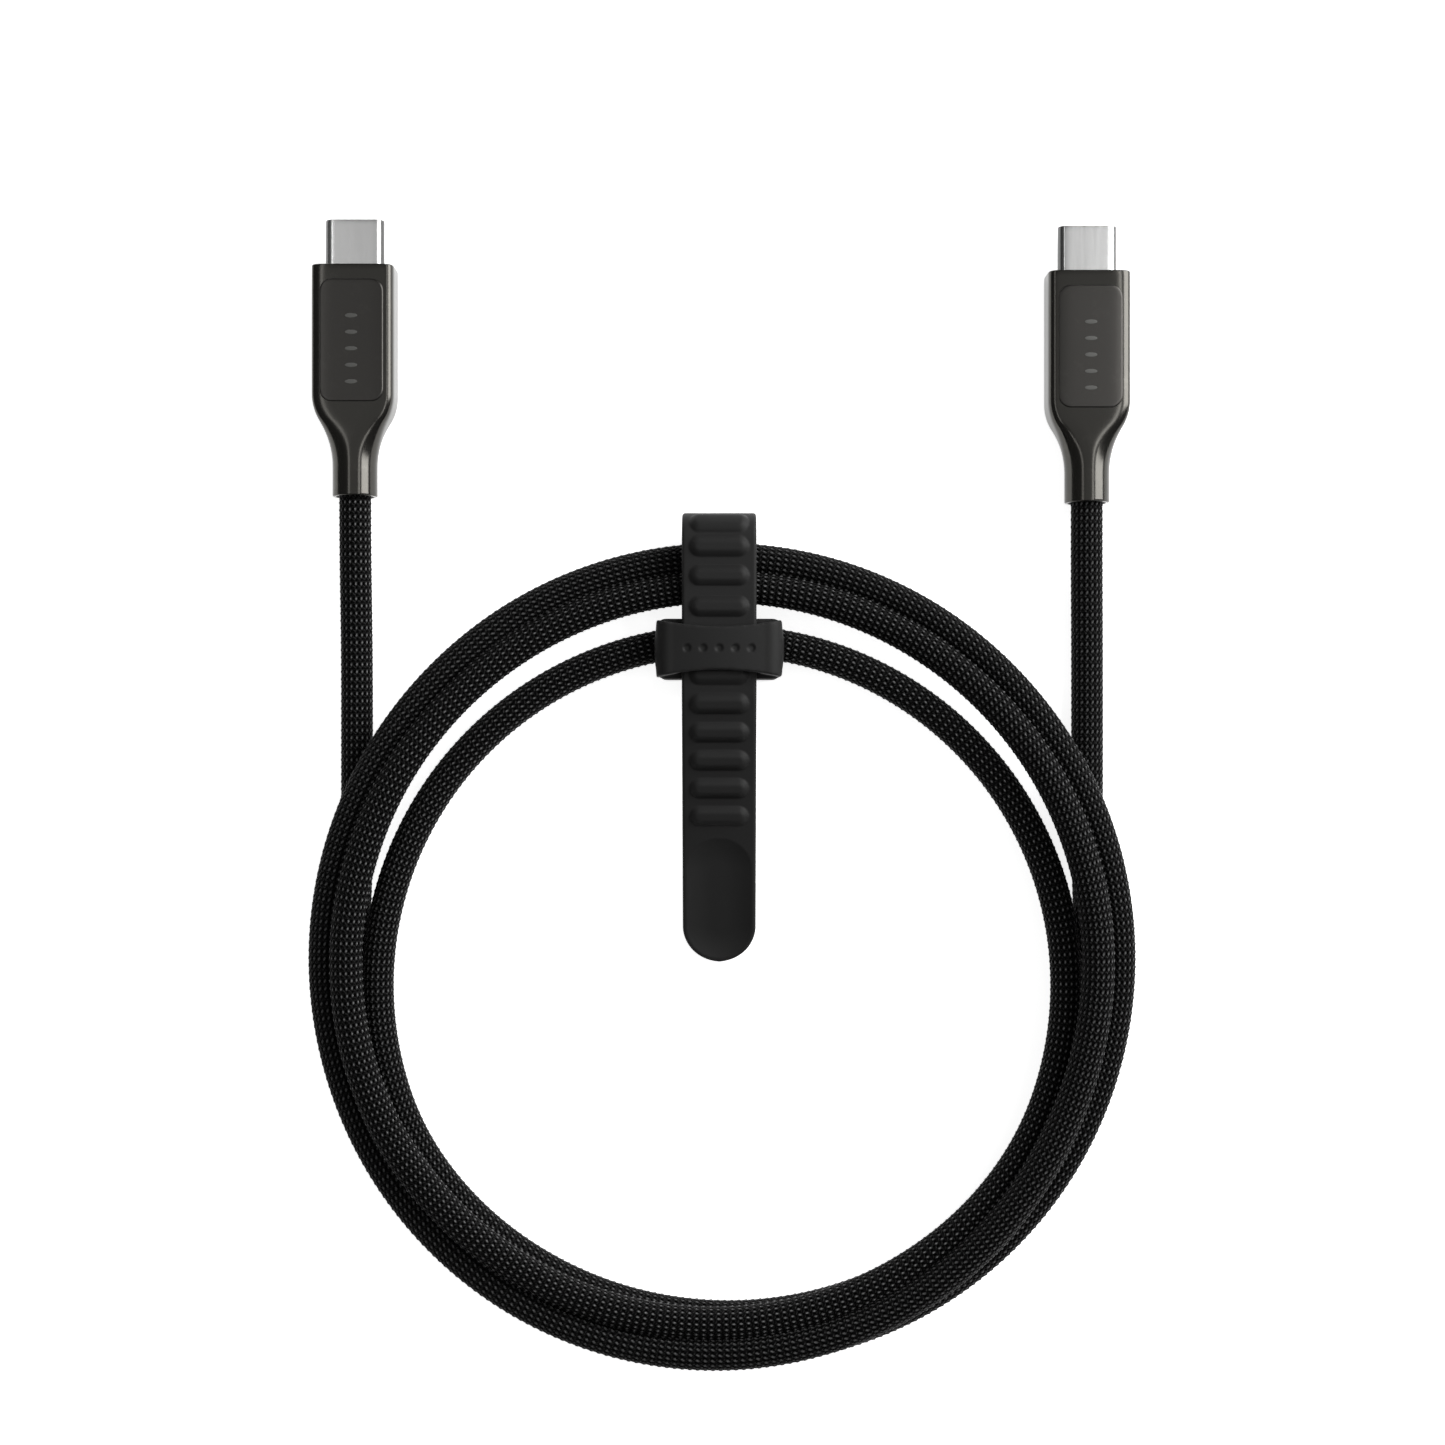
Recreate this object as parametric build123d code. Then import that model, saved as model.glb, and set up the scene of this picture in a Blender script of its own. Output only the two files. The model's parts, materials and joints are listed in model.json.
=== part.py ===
from build123d import *
import os
from math import cos, pi, radians, sin, sqrt, tan

# Charging cable with a plug on each end, wound flat and held by a silicone tie.
# Millimetres, +Z up, lying on z = 0.  The plugs point to +Y, the ring of cable lies towards -Y.
# The origin is under the middle of the box of the two plugs and the tie.

# ---- cable ----
CABLE_R = 2.2
COIL_X = 0.15
COIL_Y = -51.2
INNER_RING_Y = -55.1          # middle of the innermost top turn, which passes through the keeper
INNER_RING_R = 48.2
INNER_RING_Z = 4.5
# each strand's (radius, height) at the tie, over the leads, at the sides and at the bottom
STATIONS = (20.0, 66.0, 90.0, 135.0)
OUTER_LANE = ((55.8, 4.15), (55.3, 6.7), (55.35, 6.4), (55.45, 6.0))
TOP_LANE = ((51.7, 5.7), (51.65, 9.2), (51.85, 9.5), (52.0, 9.9))
INNER_LANE = ((44.3, 4.5), (46.4, 4.6), (48.1, 4.95), (50.4, 5.75))
LOW_LANE = ((51.6, 2.2), (51.6, 2.2), (51.6, 2.2), (53.2, 2.2))

# ---- plugs ----
PLUG_X = 51.55
PLUG_TIPS = {"a": (-PLUG_X, 52.27), "b": (PLUG_X, 51.4)}
PLUG_Z = 3.15
SHELL_W = 8.25
SHELL_T = 2.40
SHELL_WALL = 0.30
SHELL_OUT = 6.65              # length of shell in front of the housing
SHELL_LEN = 9.2
HOUSING_W = 11.5
HOUSING_T = 6.3
HOUSING_CORNER = 1.25
SHOULDER_AT = 24.7            # distance behind the tip where the housing starts to narrow
SHOULDER_TURN = 29.0          # steepest slope of the shoulder, degrees
CONVEX_R = 7.6
CONCAVE_R = 13.2
NECK_END = 38.9
NECK_BORE_R = 2.28
CAVITY_W = 9.8
CAVITY_T = 4.7
CAVITY_END = 25.0
PLATE_W = 8.95
PLATE_L = 17.1
PLATE_MIDDLE = 17.35          # distance behind the tip of the face plate's middle
PLATE_T = 0.35
PLATE_PROUD = 0.15
CONTACTS = 12
CONTACT_PITCH = 0.5
CONTACT_W = 0.25
CONTACT_T = 0.15
CONTACT_FRONT = 0.9
CONTACT_BACK = 10.2           # the strips' tails lie on the board
LATCH_T = 0.2
LATCH_BAR = (7.2, 2.4, 7.4)   # width, length, distance of its middle behind the tip
LATCH_ARM = (0.35, 5.2, 3.7)
LATCH_ARM_X = 3.425
LATCH_TIP = (0.3, 0.6, 1.6)
LATCH_TIP_X = 3.2
SPRING = (5.6, 2.4, 1.9)
SPRING_T = 0.12
SPRING_Z = 0.81
BLOCK_FRONT = 0.25
BLOCK_BACK = 8.85
BLOCK_CORNER = 0.86
TONGUE_SLOT = (6.4, 5.4, 2.7)
ARM_SLOT = (7.3, 5.6, 3.8)
ARM_SLOT_T = 0.3
BOARD_T = 0.8
BOARD_W = 8.4
BOARD_FRONT = 9.3
BOARD_END = 19.0
PARTS_AT = 13.2               # the chip and capacitors' distance behind the tip
CHIP = (2.0, 2.0, 0.75)
CHIP_X = -1.6
CAPACITOR = (0.5, 1.0, 0.5)
CAPACITORS_X = (0.6, 1.7, 2.8)
CAN_FRONT = 9.25
CAN_W = 9.5
CAN_T = 4.4
CAN_WALL = 0.2
CAN_END = 20.4
MOULD_W = 8.8
MOULD_CORNER = 0.8
MOULD_FRONT = 20.5
MOULD_END = 24.8
WIRE_BORE_R = 2.0
WIRE_R = 0.33
WIRE_FRONT = 17.4
WIRES_X = (-1.1, 0.0, 1.1)    # power, signal, ground
CABLE_START = 25.3            # the cable's cut end, behind the tip
CRIMP_R = 2.6
CRIMP_FRONT = 26.0
CRIMP_END = 30.0
BUSH_R = 2.62
BUSH_LEN = 2.5
FIT = 0.05                    # gap between pieces that are put together

# ---- tie ----
TIE_X = -0.25
STRAP_W = 10.3
STRAP_T = 1.6
STRAP_TOP = 10.0
WRAP_Y = 10.8
WRAP_R = 4.0
KEEPER_BACK = -4.0
KEEPER_FRONT = -12.4
KEEPER_HALF = 8.8
KEEPER_CORNER_HALF = 8.5
KEEPER_FLOOR = 8.0
TUNNEL_R = 2.55
SLOT_W = 11.6
SLOT_T = 2.9
ARCH_TOP = 12.0
ARCH_HALF = 8.6
ARCH_WAIST = 3.0
ARCH_ENDS = 4.05
BAND_END = -13.15
HINGE_Y = -14.2
HINGE_Z = STRAP_TOP - STRAP_T / 2
TAIL_SLOPE = 12.4
TAIL_LEN = 38.85
RIB_L = 8.0
RIB_W = 2.6
RIB_H = 0.6
BAND_RIBS = (5.85, 1.85, -2.4, -7.1, -11.8)
TAIL_RIBS = 5
TAIL_RIB_FIRST = 1.5
TAIL_RIB_PITCH = 4.0
THUMB_LEN = 17.6
THUMB_INSET = 0.6
THUMB_DEPTH = 0.4


def mid(front, back):
    return (front + back) / 2


def block(x_size, y_size, z_size, x=0.0, y=0.0, z=0.0):
    """A plain box about its middle."""
    return Pos(x, y, z) * Box(x_size, y_size, z_size)


def plate(size, thickness, x=0.0, z=0.0):
    """A thin block from (width, length, distance of its middle behind the tip)."""
    width, length, middle = size
    return block(width, length, thickness, x, -middle, z)


def bar(width, height, corner, front, back, z=0.0):
    """A rounded rectangle in x and z, run along the plug between two distances behind its tip."""
    plane = Plane(origin=(0, -front, z), x_dir=(1, 0, 0), z_dir=(0, -1, 0))
    return extrude(plane * RectangleRounded(width, height, corner), amount=back - front)


def rod(radius, front, back, x=0.0, z=0.0):
    """A round bar along the plug."""
    plane = Plane(origin=(x, -front, z), x_dir=(1, 0, 0), z_dir=(0, -1, 0))
    return extrude(plane * Circle(radius), amount=back - front)


def upright(sketch, x0=0.0):
    """Puts a sketch drawn in y and z on the plane across x."""
    return Plane(origin=(x0, 0, 0), x_dir=(0, 1, 0), z_dir=(1, 0, 0)) * sketch


# ---------------------------------------------------------------- plug

def shoulder_half_width(distance):
    """Half the housing's width: a convex arc, then a concave one, down to the neck."""
    turn = radians(SHOULDER_TURN)
    along = distance - SHOULDER_AT
    convex = CONVEX_R * sin(turn)
    if along <= 0:
        return HOUSING_W / 2
    if along <= convex:
        return HOUSING_W / 2 - CONVEX_R + sqrt(CONVEX_R ** 2 - along ** 2)
    left = min(along - convex - CONCAVE_R * sin(turn), 0.0)
    neck = HOUSING_W / 2 - (CONVEX_R + CONCAVE_R) * (1 - cos(turn))
    return neck + CONCAVE_R - sqrt(CONCAVE_R ** 2 - left ** 2)


def housing_section(distance):
    """The housing's outline at one distance behind the tip, from rounded rectangle to round."""
    half = shoulder_half_width(distance)
    neck = shoulder_half_width(NECK_END)
    narrowed = (HOUSING_W / 2 - half) / (HOUSING_W / 2 - neck)
    corner = HOUSING_CORNER + (neck - FIT - HOUSING_CORNER) * narrowed
    plane = Plane(origin=(0, -distance, 0), x_dir=(1, 0, 0), z_dir=(0, -1, 0))
    return plane * RectangleRounded(2 * half, HOUSING_T, corner)


def make_housing():
    turn = radians(SHOULDER_TURN)
    shoulder_end = SHOULDER_AT + (CONVEX_R + CONCAVE_R) * sin(turn)
    steps = 8
    stations = [SHOULDER_AT + (shoulder_end - SHOULDER_AT) * i / steps for i in range(steps + 1)]
    shoulder = loft([housing_section(d) for d in stations])
    body = extrude(housing_section(SHELL_OUT), amount=SHOULDER_AT - SHELL_OUT)
    neck = extrude(housing_section(shoulder_end), amount=NECK_END - shoulder_end)
    housing = body + shoulder + neck
    housing -= bar(CAVITY_W, CAVITY_T, 0.5, SHELL_OUT, CAVITY_END)
    housing -= rod(CRIMP_R + FIT, CAVITY_END, CRIMP_END + FIT)
    housing -= rod(NECK_BORE_R, CRIMP_END, NECK_END)
    housing -= rod(BUSH_R, NECK_END - BUSH_LEN, NECK_END)
    return housing - face_plate_blank(0.0)


def face_plate_blank(proud):
    bottom = HOUSING_T / 2 - (PLATE_T - PLATE_PROUD)
    height = PLATE_T - PLATE_PROUD + proud
    outline = Pos(0, -PLATE_MIDDLE, bottom) * RectangleRounded(PLATE_W, PLATE_L, 1.6)
    return extrude(outline, amount=height)


def make_face_plate():
    plate = face_plate_blank(PLATE_PROUD)
    return chamfer(plate.faces().sort_by(Axis.Z)[-1].edges(), 0.1)


def make_front_cap():
    cap = bar(CAVITY_W - FIT, CAVITY_T - FIT, 0.48, SHELL_OUT, SHELL_OUT + 1.0)
    return cap - bar(SHELL_W + FIT, SHELL_T + FIT, (SHELL_T + FIT) / 2 - 0.01, SHELL_OUT, SHELL_OUT + 1.0)


def make_shell():
    outer = bar(SHELL_W, SHELL_T, SHELL_T / 2 - 0.01, 0, SHELL_LEN)
    inner_t = SHELL_T - 2 * SHELL_WALL
    return outer - bar(SHELL_W - 2 * SHELL_WALL, inner_t, inner_t / 2 - 0.01, 0, SHELL_LEN)


def contact_row(side):
    """Twelve contact strips; side is +1 for the upper row and -1 for the lower one."""
    z = side * (BOARD_T / 2 + CONTACT_T / 2)
    first = -CONTACT_PITCH * (CONTACTS - 1) / 2
    front, back = CONTACT_FRONT, CONTACT_BACK
    strips = [
        block(CONTACT_W, back - front, CONTACT_T, first + i * CONTACT_PITCH, -mid(front, back), z)
        for i in range(CONTACTS)
    ]
    return Compound(children=[s.solid() for s in strips])


def make_latch():
    """The latch plate: a bar across the back with one sprung arm on each side."""
    latch = plate(LATCH_BAR, LATCH_T)
    for side in (-1, 1):
        latch += plate(LATCH_ARM, LATCH_T, side * LATCH_ARM_X)
        latch += plate(LATCH_TIP, LATCH_T, side * LATCH_TIP_X)
    return latch


def make_springs():
    """Two ground springs, above and below the opening for the tongue."""
    return Compound(children=[
        plate(SPRING, SPRING_T, z=side * SPRING_Z).solid() for side in (-1, 1)
    ])


def make_contact_block(contacts, latch, springs):
    width = SHELL_W - 2 * SHELL_WALL - FIT
    height = SHELL_T - 2 * SHELL_WALL - FIT
    body = bar(width, height, BLOCK_CORNER, BLOCK_FRONT, BLOCK_BACK)
    body -= plate(TONGUE_SLOT, BOARD_T)
    body -= plate(ARM_SLOT, ARM_SLOT_T)
    for piece in contacts + [latch, springs]:
        for solid in piece.solids():
            body -= solid
    return body.solids().sort_by(SortBy.VOLUME)[-1]


def make_board():
    return block(BOARD_W, BOARD_END - BOARD_FRONT, BOARD_T, y=-mid(BOARD_FRONT, BOARD_END))


def make_chip():
    return block(*CHIP, x=CHIP_X, y=-PARTS_AT, z=(BOARD_T + CHIP[2]) / 2)


def make_capacitors():
    return Compound(children=[
        block(*CAPACITOR, x=x, y=-PARTS_AT, z=(BOARD_T + CAPACITOR[2]) / 2).solid() for x in CAPACITORS_X
    ])


def make_can(side):
    """One half of the shield can, open towards the board; side is +1 for the upper half."""
    front, back = CAN_FRONT, CAN_END
    half = CAN_T / 2
    shell = block(CAN_W, back - front, half, y=-mid(front, back), z=side * half / 2)
    hollow_t = half - CAN_WALL
    return shell - block(CAN_W - 2 * CAN_WALL, back - front, hollow_t, y=-mid(front, back),
                         z=side * hollow_t / 2)


def make_mould():
    mould = bar(MOULD_W, CAN_T, MOULD_CORNER, MOULD_FRONT, MOULD_END)
    return mould - rod(WIRE_BORE_R, MOULD_FRONT, MOULD_END)


def make_wires(x):
    """Two cores, one soldered on each face of the board."""
    z = BOARD_T / 2 + WIRE_R
    return Compound(children=[
        rod(WIRE_R, WIRE_FRONT, CABLE_START, x, side * z).solid() for side in (-1, 1)
    ])


def make_crimp():
    return rod(CRIMP_R, CRIMP_FRONT, CRIMP_END) - rod(CABLE_R + FIT, CRIMP_FRONT, CRIMP_END)


def make_bush():
    front = NECK_END - BUSH_LEN
    return rod(BUSH_R - 0.02, front, NECK_END) - rod(NECK_BORE_R, front, NECK_END)


def make_plug():
    contacts = [contact_row(1), contact_row(-1)]
    latch = make_latch()
    springs = make_springs()
    return {
        "housing": make_housing(),
        "face_plate": make_face_plate(),
        "front_cap": make_front_cap(),
        "connector_shell": make_shell(),
        "contact_block": make_contact_block(contacts, latch, springs),
        "upper_contacts": contacts[0],
        "lower_contacts": contacts[1],
        "latch_plate": latch,
        "ground_springs": springs,
        "circuit_board": make_board(),
        "marker_chip": make_chip(),
        "capacitors": make_capacitors(),
        "shield_can_upper": make_can(1),
        "shield_can_lower": make_can(-1),
        "inner_mould": make_mould(),
        "power_wires": make_wires(WIRES_X[0]),
        "signal_wires": make_wires(WIRES_X[1]),
        "ground_wires": make_wires(WIRES_X[2]),
        "crimp_ring": make_crimp(),
        "neck_bush": make_bush(),
    }


# ---------------------------------------------------------------- cable

def smooth(t):
    t = min(max(t, 0.0), 1.0)
    return t * t * (3 - 2 * t)


def lane(stations, away):
    """A strand's (radius, height) at an angle away from the tie."""
    here = stations[0]
    for i in range(1, len(STATIONS)):
        t = smooth((away - STATIONS[i - 1]) / (STATIONS[i] - STATIONS[i - 1]))
        here = tuple(a + (b - a) * t for a, b in zip(here, stations[i]))
    return here


def inner_lane(away):
    """The innermost strand, which keeps to its own circle until it reaches the bundle."""
    drop = COIL_Y - INNER_RING_Y
    a = radians(away)
    on_circle = sqrt(INNER_RING_R ** 2 - (drop * sin(a)) ** 2) - drop * cos(a)
    return min(on_circle, INNER_LANE[-1][0]), lane(INNER_LANE, away)[1]


def ring_wire(angle, outline):
    """A closed outline of (radius, height) points standing at one angle round the coil."""
    a = radians(angle)
    points = [(COIL_X + r * cos(a), COIL_Y + r * sin(a), z) for r, z in outline]
    return Wire.make_polygon(points, close=True)


def away_from_tie(angle):
    return abs((angle - 90 + 180) % 360 - 180)


def band_outline(angle):
    """Round the outer and the top strand together."""
    away = away_from_tie(angle)
    ra, za = lane(OUTER_LANE, away)
    rb, zb = lane(TOP_LANE, away)
    c = CABLE_R
    return [(ra - 1.4, za - c), (ra + 1.4, za - c), (ra + c, za), (ra + 1.3, za + 1.7),
            (rb + 1.0, zb + c), (rb - 1.2, zb + c), (rb - c, zb), (rb - 1.5, zb - 1.6)]


def bundle_outline(angle):
    """Round all four strands of the lower half."""
    away = away_from_tie(angle)
    ra, za = lane(OUTER_LANE, away)
    rb, zb = lane(TOP_LANE, away)
    rc, zc = inner_lane(away)
    rd, zd = lane(LOW_LANE, away)
    c = CABLE_R
    return [(rd - 1.6, zd - c), (rd + 1.6, zd - c), (ra + c, za - 1.2), (ra + c, za + 1.2),
            (rb + 1.5, zb + c), (rb - 1.5, zb + c), (rc - c, zc + 1.2), (rc - c, zc - 1.2)]


def make_coil():
    upper = [ring_wire(angle, band_outline(angle)) for angle in range(0, 181, 15)]
    lower = [ring_wire(angle, bundle_outline(angle)) for angle in range(180, 361, 15)]
    section = Plane.XZ * Pos(INNER_RING_R, INNER_RING_Z) * Circle(CABLE_R)
    inner = Pos(COIL_X, INNER_RING_Y, 0) * revolve(section, axis=Axis.Z, revolution_arc=180)
    return Solid.make_loft(upper, True).fuse(Solid.make_loft(lower, True)).fuse(inner.solid())


def lead_points(side):
    """From the crimp, through the neck, down to the table and on to where the coil begins."""
    sign = -1 if side == "a" else 1
    x, tip = PLUG_TIPS[side]
    coil_x = COIL_X + sign * LOW_LANE[0][0]
    return [
        (x, tip - CABLE_START, PLUG_Z),
        (x, tip - CABLE_START - 18.5, PLUG_Z),
        (coil_x, -14.0, CABLE_R),
        (coil_x, COIL_Y, CABLE_R),
    ]


def bend_radii(points):
    """Each corner's arc, as large as its two runs allow."""
    radii = []
    for before, here, after in zip(points, points[1:], points[2:]):
        first = Vector(*here) - Vector(*before)
        second = Vector(*after) - Vector(*here)
        half_turn = radians(first.get_angle(second)) / 2
        radii.append(0.45 * min(first.length, second.length) / tan(half_turn))
    return radii


def make_lead(side):
    points = lead_points(side)
    radii = bend_radii(points)
    path = FilletPolyline(*points, radius=radii)
    section = Plane(origin=points[0], z_dir=Vector(*points[1]) - Vector(*points[0])) * Circle(CABLE_R)
    tube = sweep(section, path=path)
    expected = pi * CABLE_R ** 2 * path.length
    print("lead", side, "radii", [round(r) for r in radii], "length", round(path.length, 1),
          "volume over expected", round(tube.volume / expected, 4))
    return tube


# ---------------------------------------------------------------- tie

def make_keeper():
    """The head of the tie: a block with a tunnel for the cable and an arch over the strap."""
    middle_y = mid(KEEPER_BACK, KEEPER_FRONT)
    half_y = (KEEPER_BACK - KEEPER_FRONT) / 2
    k, q = KEEPER_CORNER_HALF, half_y
    plan = make_face([
        Line((-k, q), (k, q)),
        ThreePointArc((k, q), (KEEPER_HALF, 0), (k, -q)),
        Line((k, -q), (-k, -q)),
        ThreePointArc((-k, -q), (-KEEPER_HALF, 0), (-k, q)),
    ])
    base = extrude(plan, amount=KEEPER_FLOOR)
    base = fillet(base.edges().filter_by(Axis.Z), 1.2)

    rise = KEEPER_FLOOR - 1.0
    a, e = ARCH_HALF, ARCH_HALF - 2.2
    shoulder, crown = ARCH_TOP - 2.8, ARCH_TOP - 0.5
    profile = make_face([
        Line((-a, rise), (-a, shoulder)),
        ThreePointArc((-a, shoulder), (-a + 0.55, crown - 0.6), (-e, crown)),
        ThreePointArc((-e, crown), (0, ARCH_TOP), (e, crown)),
        ThreePointArc((e, crown), (a - 0.55, crown - 0.6), (a, shoulder)),
        Line((a, shoulder), (a, rise)),
        Line((a, rise), (-a, rise)),
    ])
    across = Plane(origin=(0, 0, 0), x_dir=(1, 0, 0), z_dir=(0, -1, 0))
    arch = extrude(across * profile, amount=ARCH_ENDS, both=True)
    waist = make_face([
        ThreePointArc((-9, ARCH_ENDS), (0, ARCH_WAIST), (9, ARCH_ENDS)),
        Line((9, ARCH_ENDS), (9, -ARCH_ENDS)),
        ThreePointArc((9, -ARCH_ENDS), (0, -ARCH_WAIST), (-9, -ARCH_ENDS)),
        Line((-9, -ARCH_ENDS), (-9, ARCH_ENDS)),
    ])
    arch &= extrude(waist, amount=ARCH_TOP + 1)
    slot = extrude(across * Pos(0, KEEPER_FLOOR + SLOT_T / 2) * RectangleRounded(SLOT_W, SLOT_T, 0.8),
                   amount=10, both=True)
    head = Pos(TIE_X, middle_y, 0) * ((base + arch) - slot)

    section = Plane.XZ * Pos(INNER_RING_R, INNER_RING_Z) * Circle(TUNNEL_R)
    tunnel = Pos(COIL_X, INNER_RING_Y, 0) * (Rot(0, 0, 70) * revolve(section, axis=Axis.Z, revolution_arc=40))
    return head - tunnel


def rib():
    return extrude(SlotOverall(RIB_L, RIB_W), amount=RIB_H)


def make_band():
    """The strap from the keeper's foot, round the two outer strands and back through the keeper."""
    outer = upright(Pos(WRAP_Y - 20, STRAP_TOP / 2) * Rectangle(40, STRAP_TOP), -STRAP_W / 2)
    outer = extrude(outer, amount=STRAP_W)
    outer = fillet(outer.edges().filter_by(Axis.X).group_by(Axis.Y)[-1], WRAP_R)
    inner_t = STRAP_TOP - 2 * STRAP_T
    inner = upright(Pos(WRAP_Y - STRAP_T - 20, STRAP_TOP / 2) * Rectangle(40, inner_t), -STRAP_W / 2)
    inner = extrude(inner, amount=STRAP_W)
    inner = fillet(inner.edges().filter_by(Axis.X).group_by(Axis.Y)[-1], WRAP_R - STRAP_T)
    loop = outer - inner
    lower = block(STRAP_W, 40, STRAP_TOP / 2, y=KEEPER_BACK + 20, z=STRAP_TOP / 4)
    upper = block(STRAP_W, 40, STRAP_TOP / 2, y=BAND_END + 20, z=STRAP_TOP * 3 / 4)
    band = loop & (lower + upper)
    for y in BAND_RIBS:
        band += Pos(0, y, STRAP_TOP) * rib()
    return Pos(TIE_X, 0, 0) * band


def make_tail():
    """The strap's free end, built flat from its hinge line and then laid down to the table."""
    straight = TAIL_LEN - STRAP_W / 2
    plan = Pos(0, -straight / 2) * Rectangle(STRAP_W, straight)
    plan += Pos(0, -straight) * Circle(STRAP_W / 2)
    tail = extrude(Pos(0, 0, -STRAP_T / 2) * plan, amount=STRAP_T)
    nose = Plane(origin=(-STRAP_W / 2, 0, 0), x_dir=(0, 1, 0), z_dir=(1, 0, 0)) * Circle(STRAP_T / 2)
    tail += extrude(nose, amount=STRAP_W)
    for i in range(TAIL_RIBS):
        tail += Pos(0, -TAIL_RIB_FIRST - i * TAIL_RIB_PITCH, STRAP_T / 2) * rib()
    thumb_w = STRAP_W - 2 * THUMB_INSET
    thumb = SlotOverall(THUMB_LEN - THUMB_INSET, thumb_w, rotation=90)
    thumb_y = -TAIL_LEN + (THUMB_LEN + THUMB_INSET) / 2
    tail -= extrude(Pos(0, thumb_y, STRAP_T / 2 - THUMB_DEPTH) * thumb, amount=THUMB_DEPTH)
    return Pos(TIE_X, HINGE_Y, HINGE_Z) * (Rot(TAIL_SLOPE, 0, 0) * tail)


# ---------------------------------------------------------------- write

def write(name, shape):
    export_step(shape, f"parts/{name}.step")


os.makedirs("parts", exist_ok=True)
plug = make_plug()
for side, (plug_x, tip) in PLUG_TIPS.items():
    for name, piece in plug.items():
        write(f"{name}_{side}", Pos(plug_x, tip, PLUG_Z) * piece)
    write(f"lead_{side}", make_lead(side))
write("coil", make_coil())
write("tie_keeper", make_keeper())
write("tie_band", make_band())
write("tie_tail", make_tail())
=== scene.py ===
"""Charging cable: a braided cable wound flat, a plug on each end and a silicone tie round the coil."""

import functools
import json
import math

import bmesh
import bpy
import numpy as np
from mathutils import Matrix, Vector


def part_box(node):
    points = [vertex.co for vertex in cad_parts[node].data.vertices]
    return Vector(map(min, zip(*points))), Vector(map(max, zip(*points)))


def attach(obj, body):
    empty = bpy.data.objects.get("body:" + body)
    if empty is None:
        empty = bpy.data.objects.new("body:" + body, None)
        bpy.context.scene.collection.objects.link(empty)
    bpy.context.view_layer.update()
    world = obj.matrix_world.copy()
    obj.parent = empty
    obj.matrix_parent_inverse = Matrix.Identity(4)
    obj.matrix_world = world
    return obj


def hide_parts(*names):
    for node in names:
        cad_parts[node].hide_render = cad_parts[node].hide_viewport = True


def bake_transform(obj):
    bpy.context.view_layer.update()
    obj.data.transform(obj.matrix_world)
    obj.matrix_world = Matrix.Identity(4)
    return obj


bl_info = {
    "name": "Charging cable",
    "version": (1, 0, 0),
    "blender": (4, 5, 0),
    "location": "View3D > Sidebar > Charging cable",
    "description": "Makes a coiled, braided charging cable with two plugs and a silicone tie",
    "category": "Add Mesh",
}

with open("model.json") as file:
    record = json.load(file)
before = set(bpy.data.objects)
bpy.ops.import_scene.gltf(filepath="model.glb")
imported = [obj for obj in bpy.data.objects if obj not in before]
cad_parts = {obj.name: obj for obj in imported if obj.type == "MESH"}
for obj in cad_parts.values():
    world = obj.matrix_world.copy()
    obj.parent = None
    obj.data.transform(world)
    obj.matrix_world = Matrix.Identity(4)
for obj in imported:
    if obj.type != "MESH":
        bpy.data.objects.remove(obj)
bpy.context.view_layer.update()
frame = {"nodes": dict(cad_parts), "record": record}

MM = 0.001
SIDES = ("a", "b")


# ---------------------------------------------------------------- sizes and colours

def size(name, description, default):
    """A length that a user may change, in metres."""
    return bpy.props.FloatProperty(
        name=name, description=description, default=default, unit="LENGTH", subtype="DISTANCE", precision=5)


def amount(name, description, default, low=0.0, high=1.0):
    return bpy.props.FloatProperty(name=name, description=description, default=default, min=low, max=high)


def colour(name, description, default):
    return bpy.props.FloatVectorProperty(
        name=name, description=description, default=default, subtype="COLOR", size=3, min=0.0, max=1.0)


def count(name, description, default, low=1):
    return bpy.props.IntProperty(name=name, description=description, default=default, min=low)


class CableSizes(bpy.types.PropertyGroup):
    """The braided cable."""
    length: size("Length", "Length of the cable from crimp to crimp", 1.298)
    diameter: size("Diameter", "Outer diameter over the braid", 4.4 * MM)
    core_radius: size("Core radius", "Radius of the jacket under the braid", 2.0 * MM)
    yarn_radius: size("Yarn radius", "Distance of the yarns' base from the middle of the cable", 2.03 * MM)
    carriers: count("Carriers", "Yarns that run each way round the cable", 18)
    lay_length: size("Lay length", "Distance along the cable for one turn of a yarn", 18.6 * MM)
    yarn_width: size("Yarn width", "Width of one yarn", 0.66 * MM)
    yarn_height: size("Yarn height", "Height of one yarn over its base", 0.17 * MM)
    yarn_rise: size("Yarn rise", "How far a yarn goes over and under the next", 0.06 * MM)
    groove: size("Groove", "Depth of the grooves between the rows of crossings", 0.05 * MM)
    # the yarn's colour where it lies low: the nylon's black deepened as painted shade
    colour: colour("Yarn", "Colour of the braid", (0.0009, 0.0009, 0.0009))
    # painted highlight: the colour the yarn is painted where it is raised
    painted_highlight_colour: colour("Yarn, light", "Colour where the filaments catch the light", (0.370, 0.370, 0.373))


class PlugSizes(bpy.types.PropertyGroup):
    """The two plugs."""
    corner_power: amount("Corner power", "Squareness of the housing's section", 7.0, 2.0, 12.0)
    edge: size("Front edge", "Rounding of the housing's front edge", 0.22 * MM)
    bevel: size("Plate bevel", "Rounding of the face plate's rim", 0.2 * MM)
    plate_proud: size("Plate height", "Height of the face plate over the housing", 0.15 * MM)
    pips: count("Pips", "Number of marks on the face plate", 5)
    pip_pitch: size("Pip pitch", "Distance between marks", 2.3 * MM)
    metal: colour("Housing", "Colour of the coated housing", (0.060, 0.058, 0.053))
    plate: colour("Face plate", "Colour of the satin face plate", (0.055, 0.0527, 0.0495))
    mark: colour("Marks", "Colour of the marks on the face plate", (0.085, 0.085, 0.08))
    steel: colour("Shell", "Colour of the plug's steel shell", (0.73, 0.73, 0.725))


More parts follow.
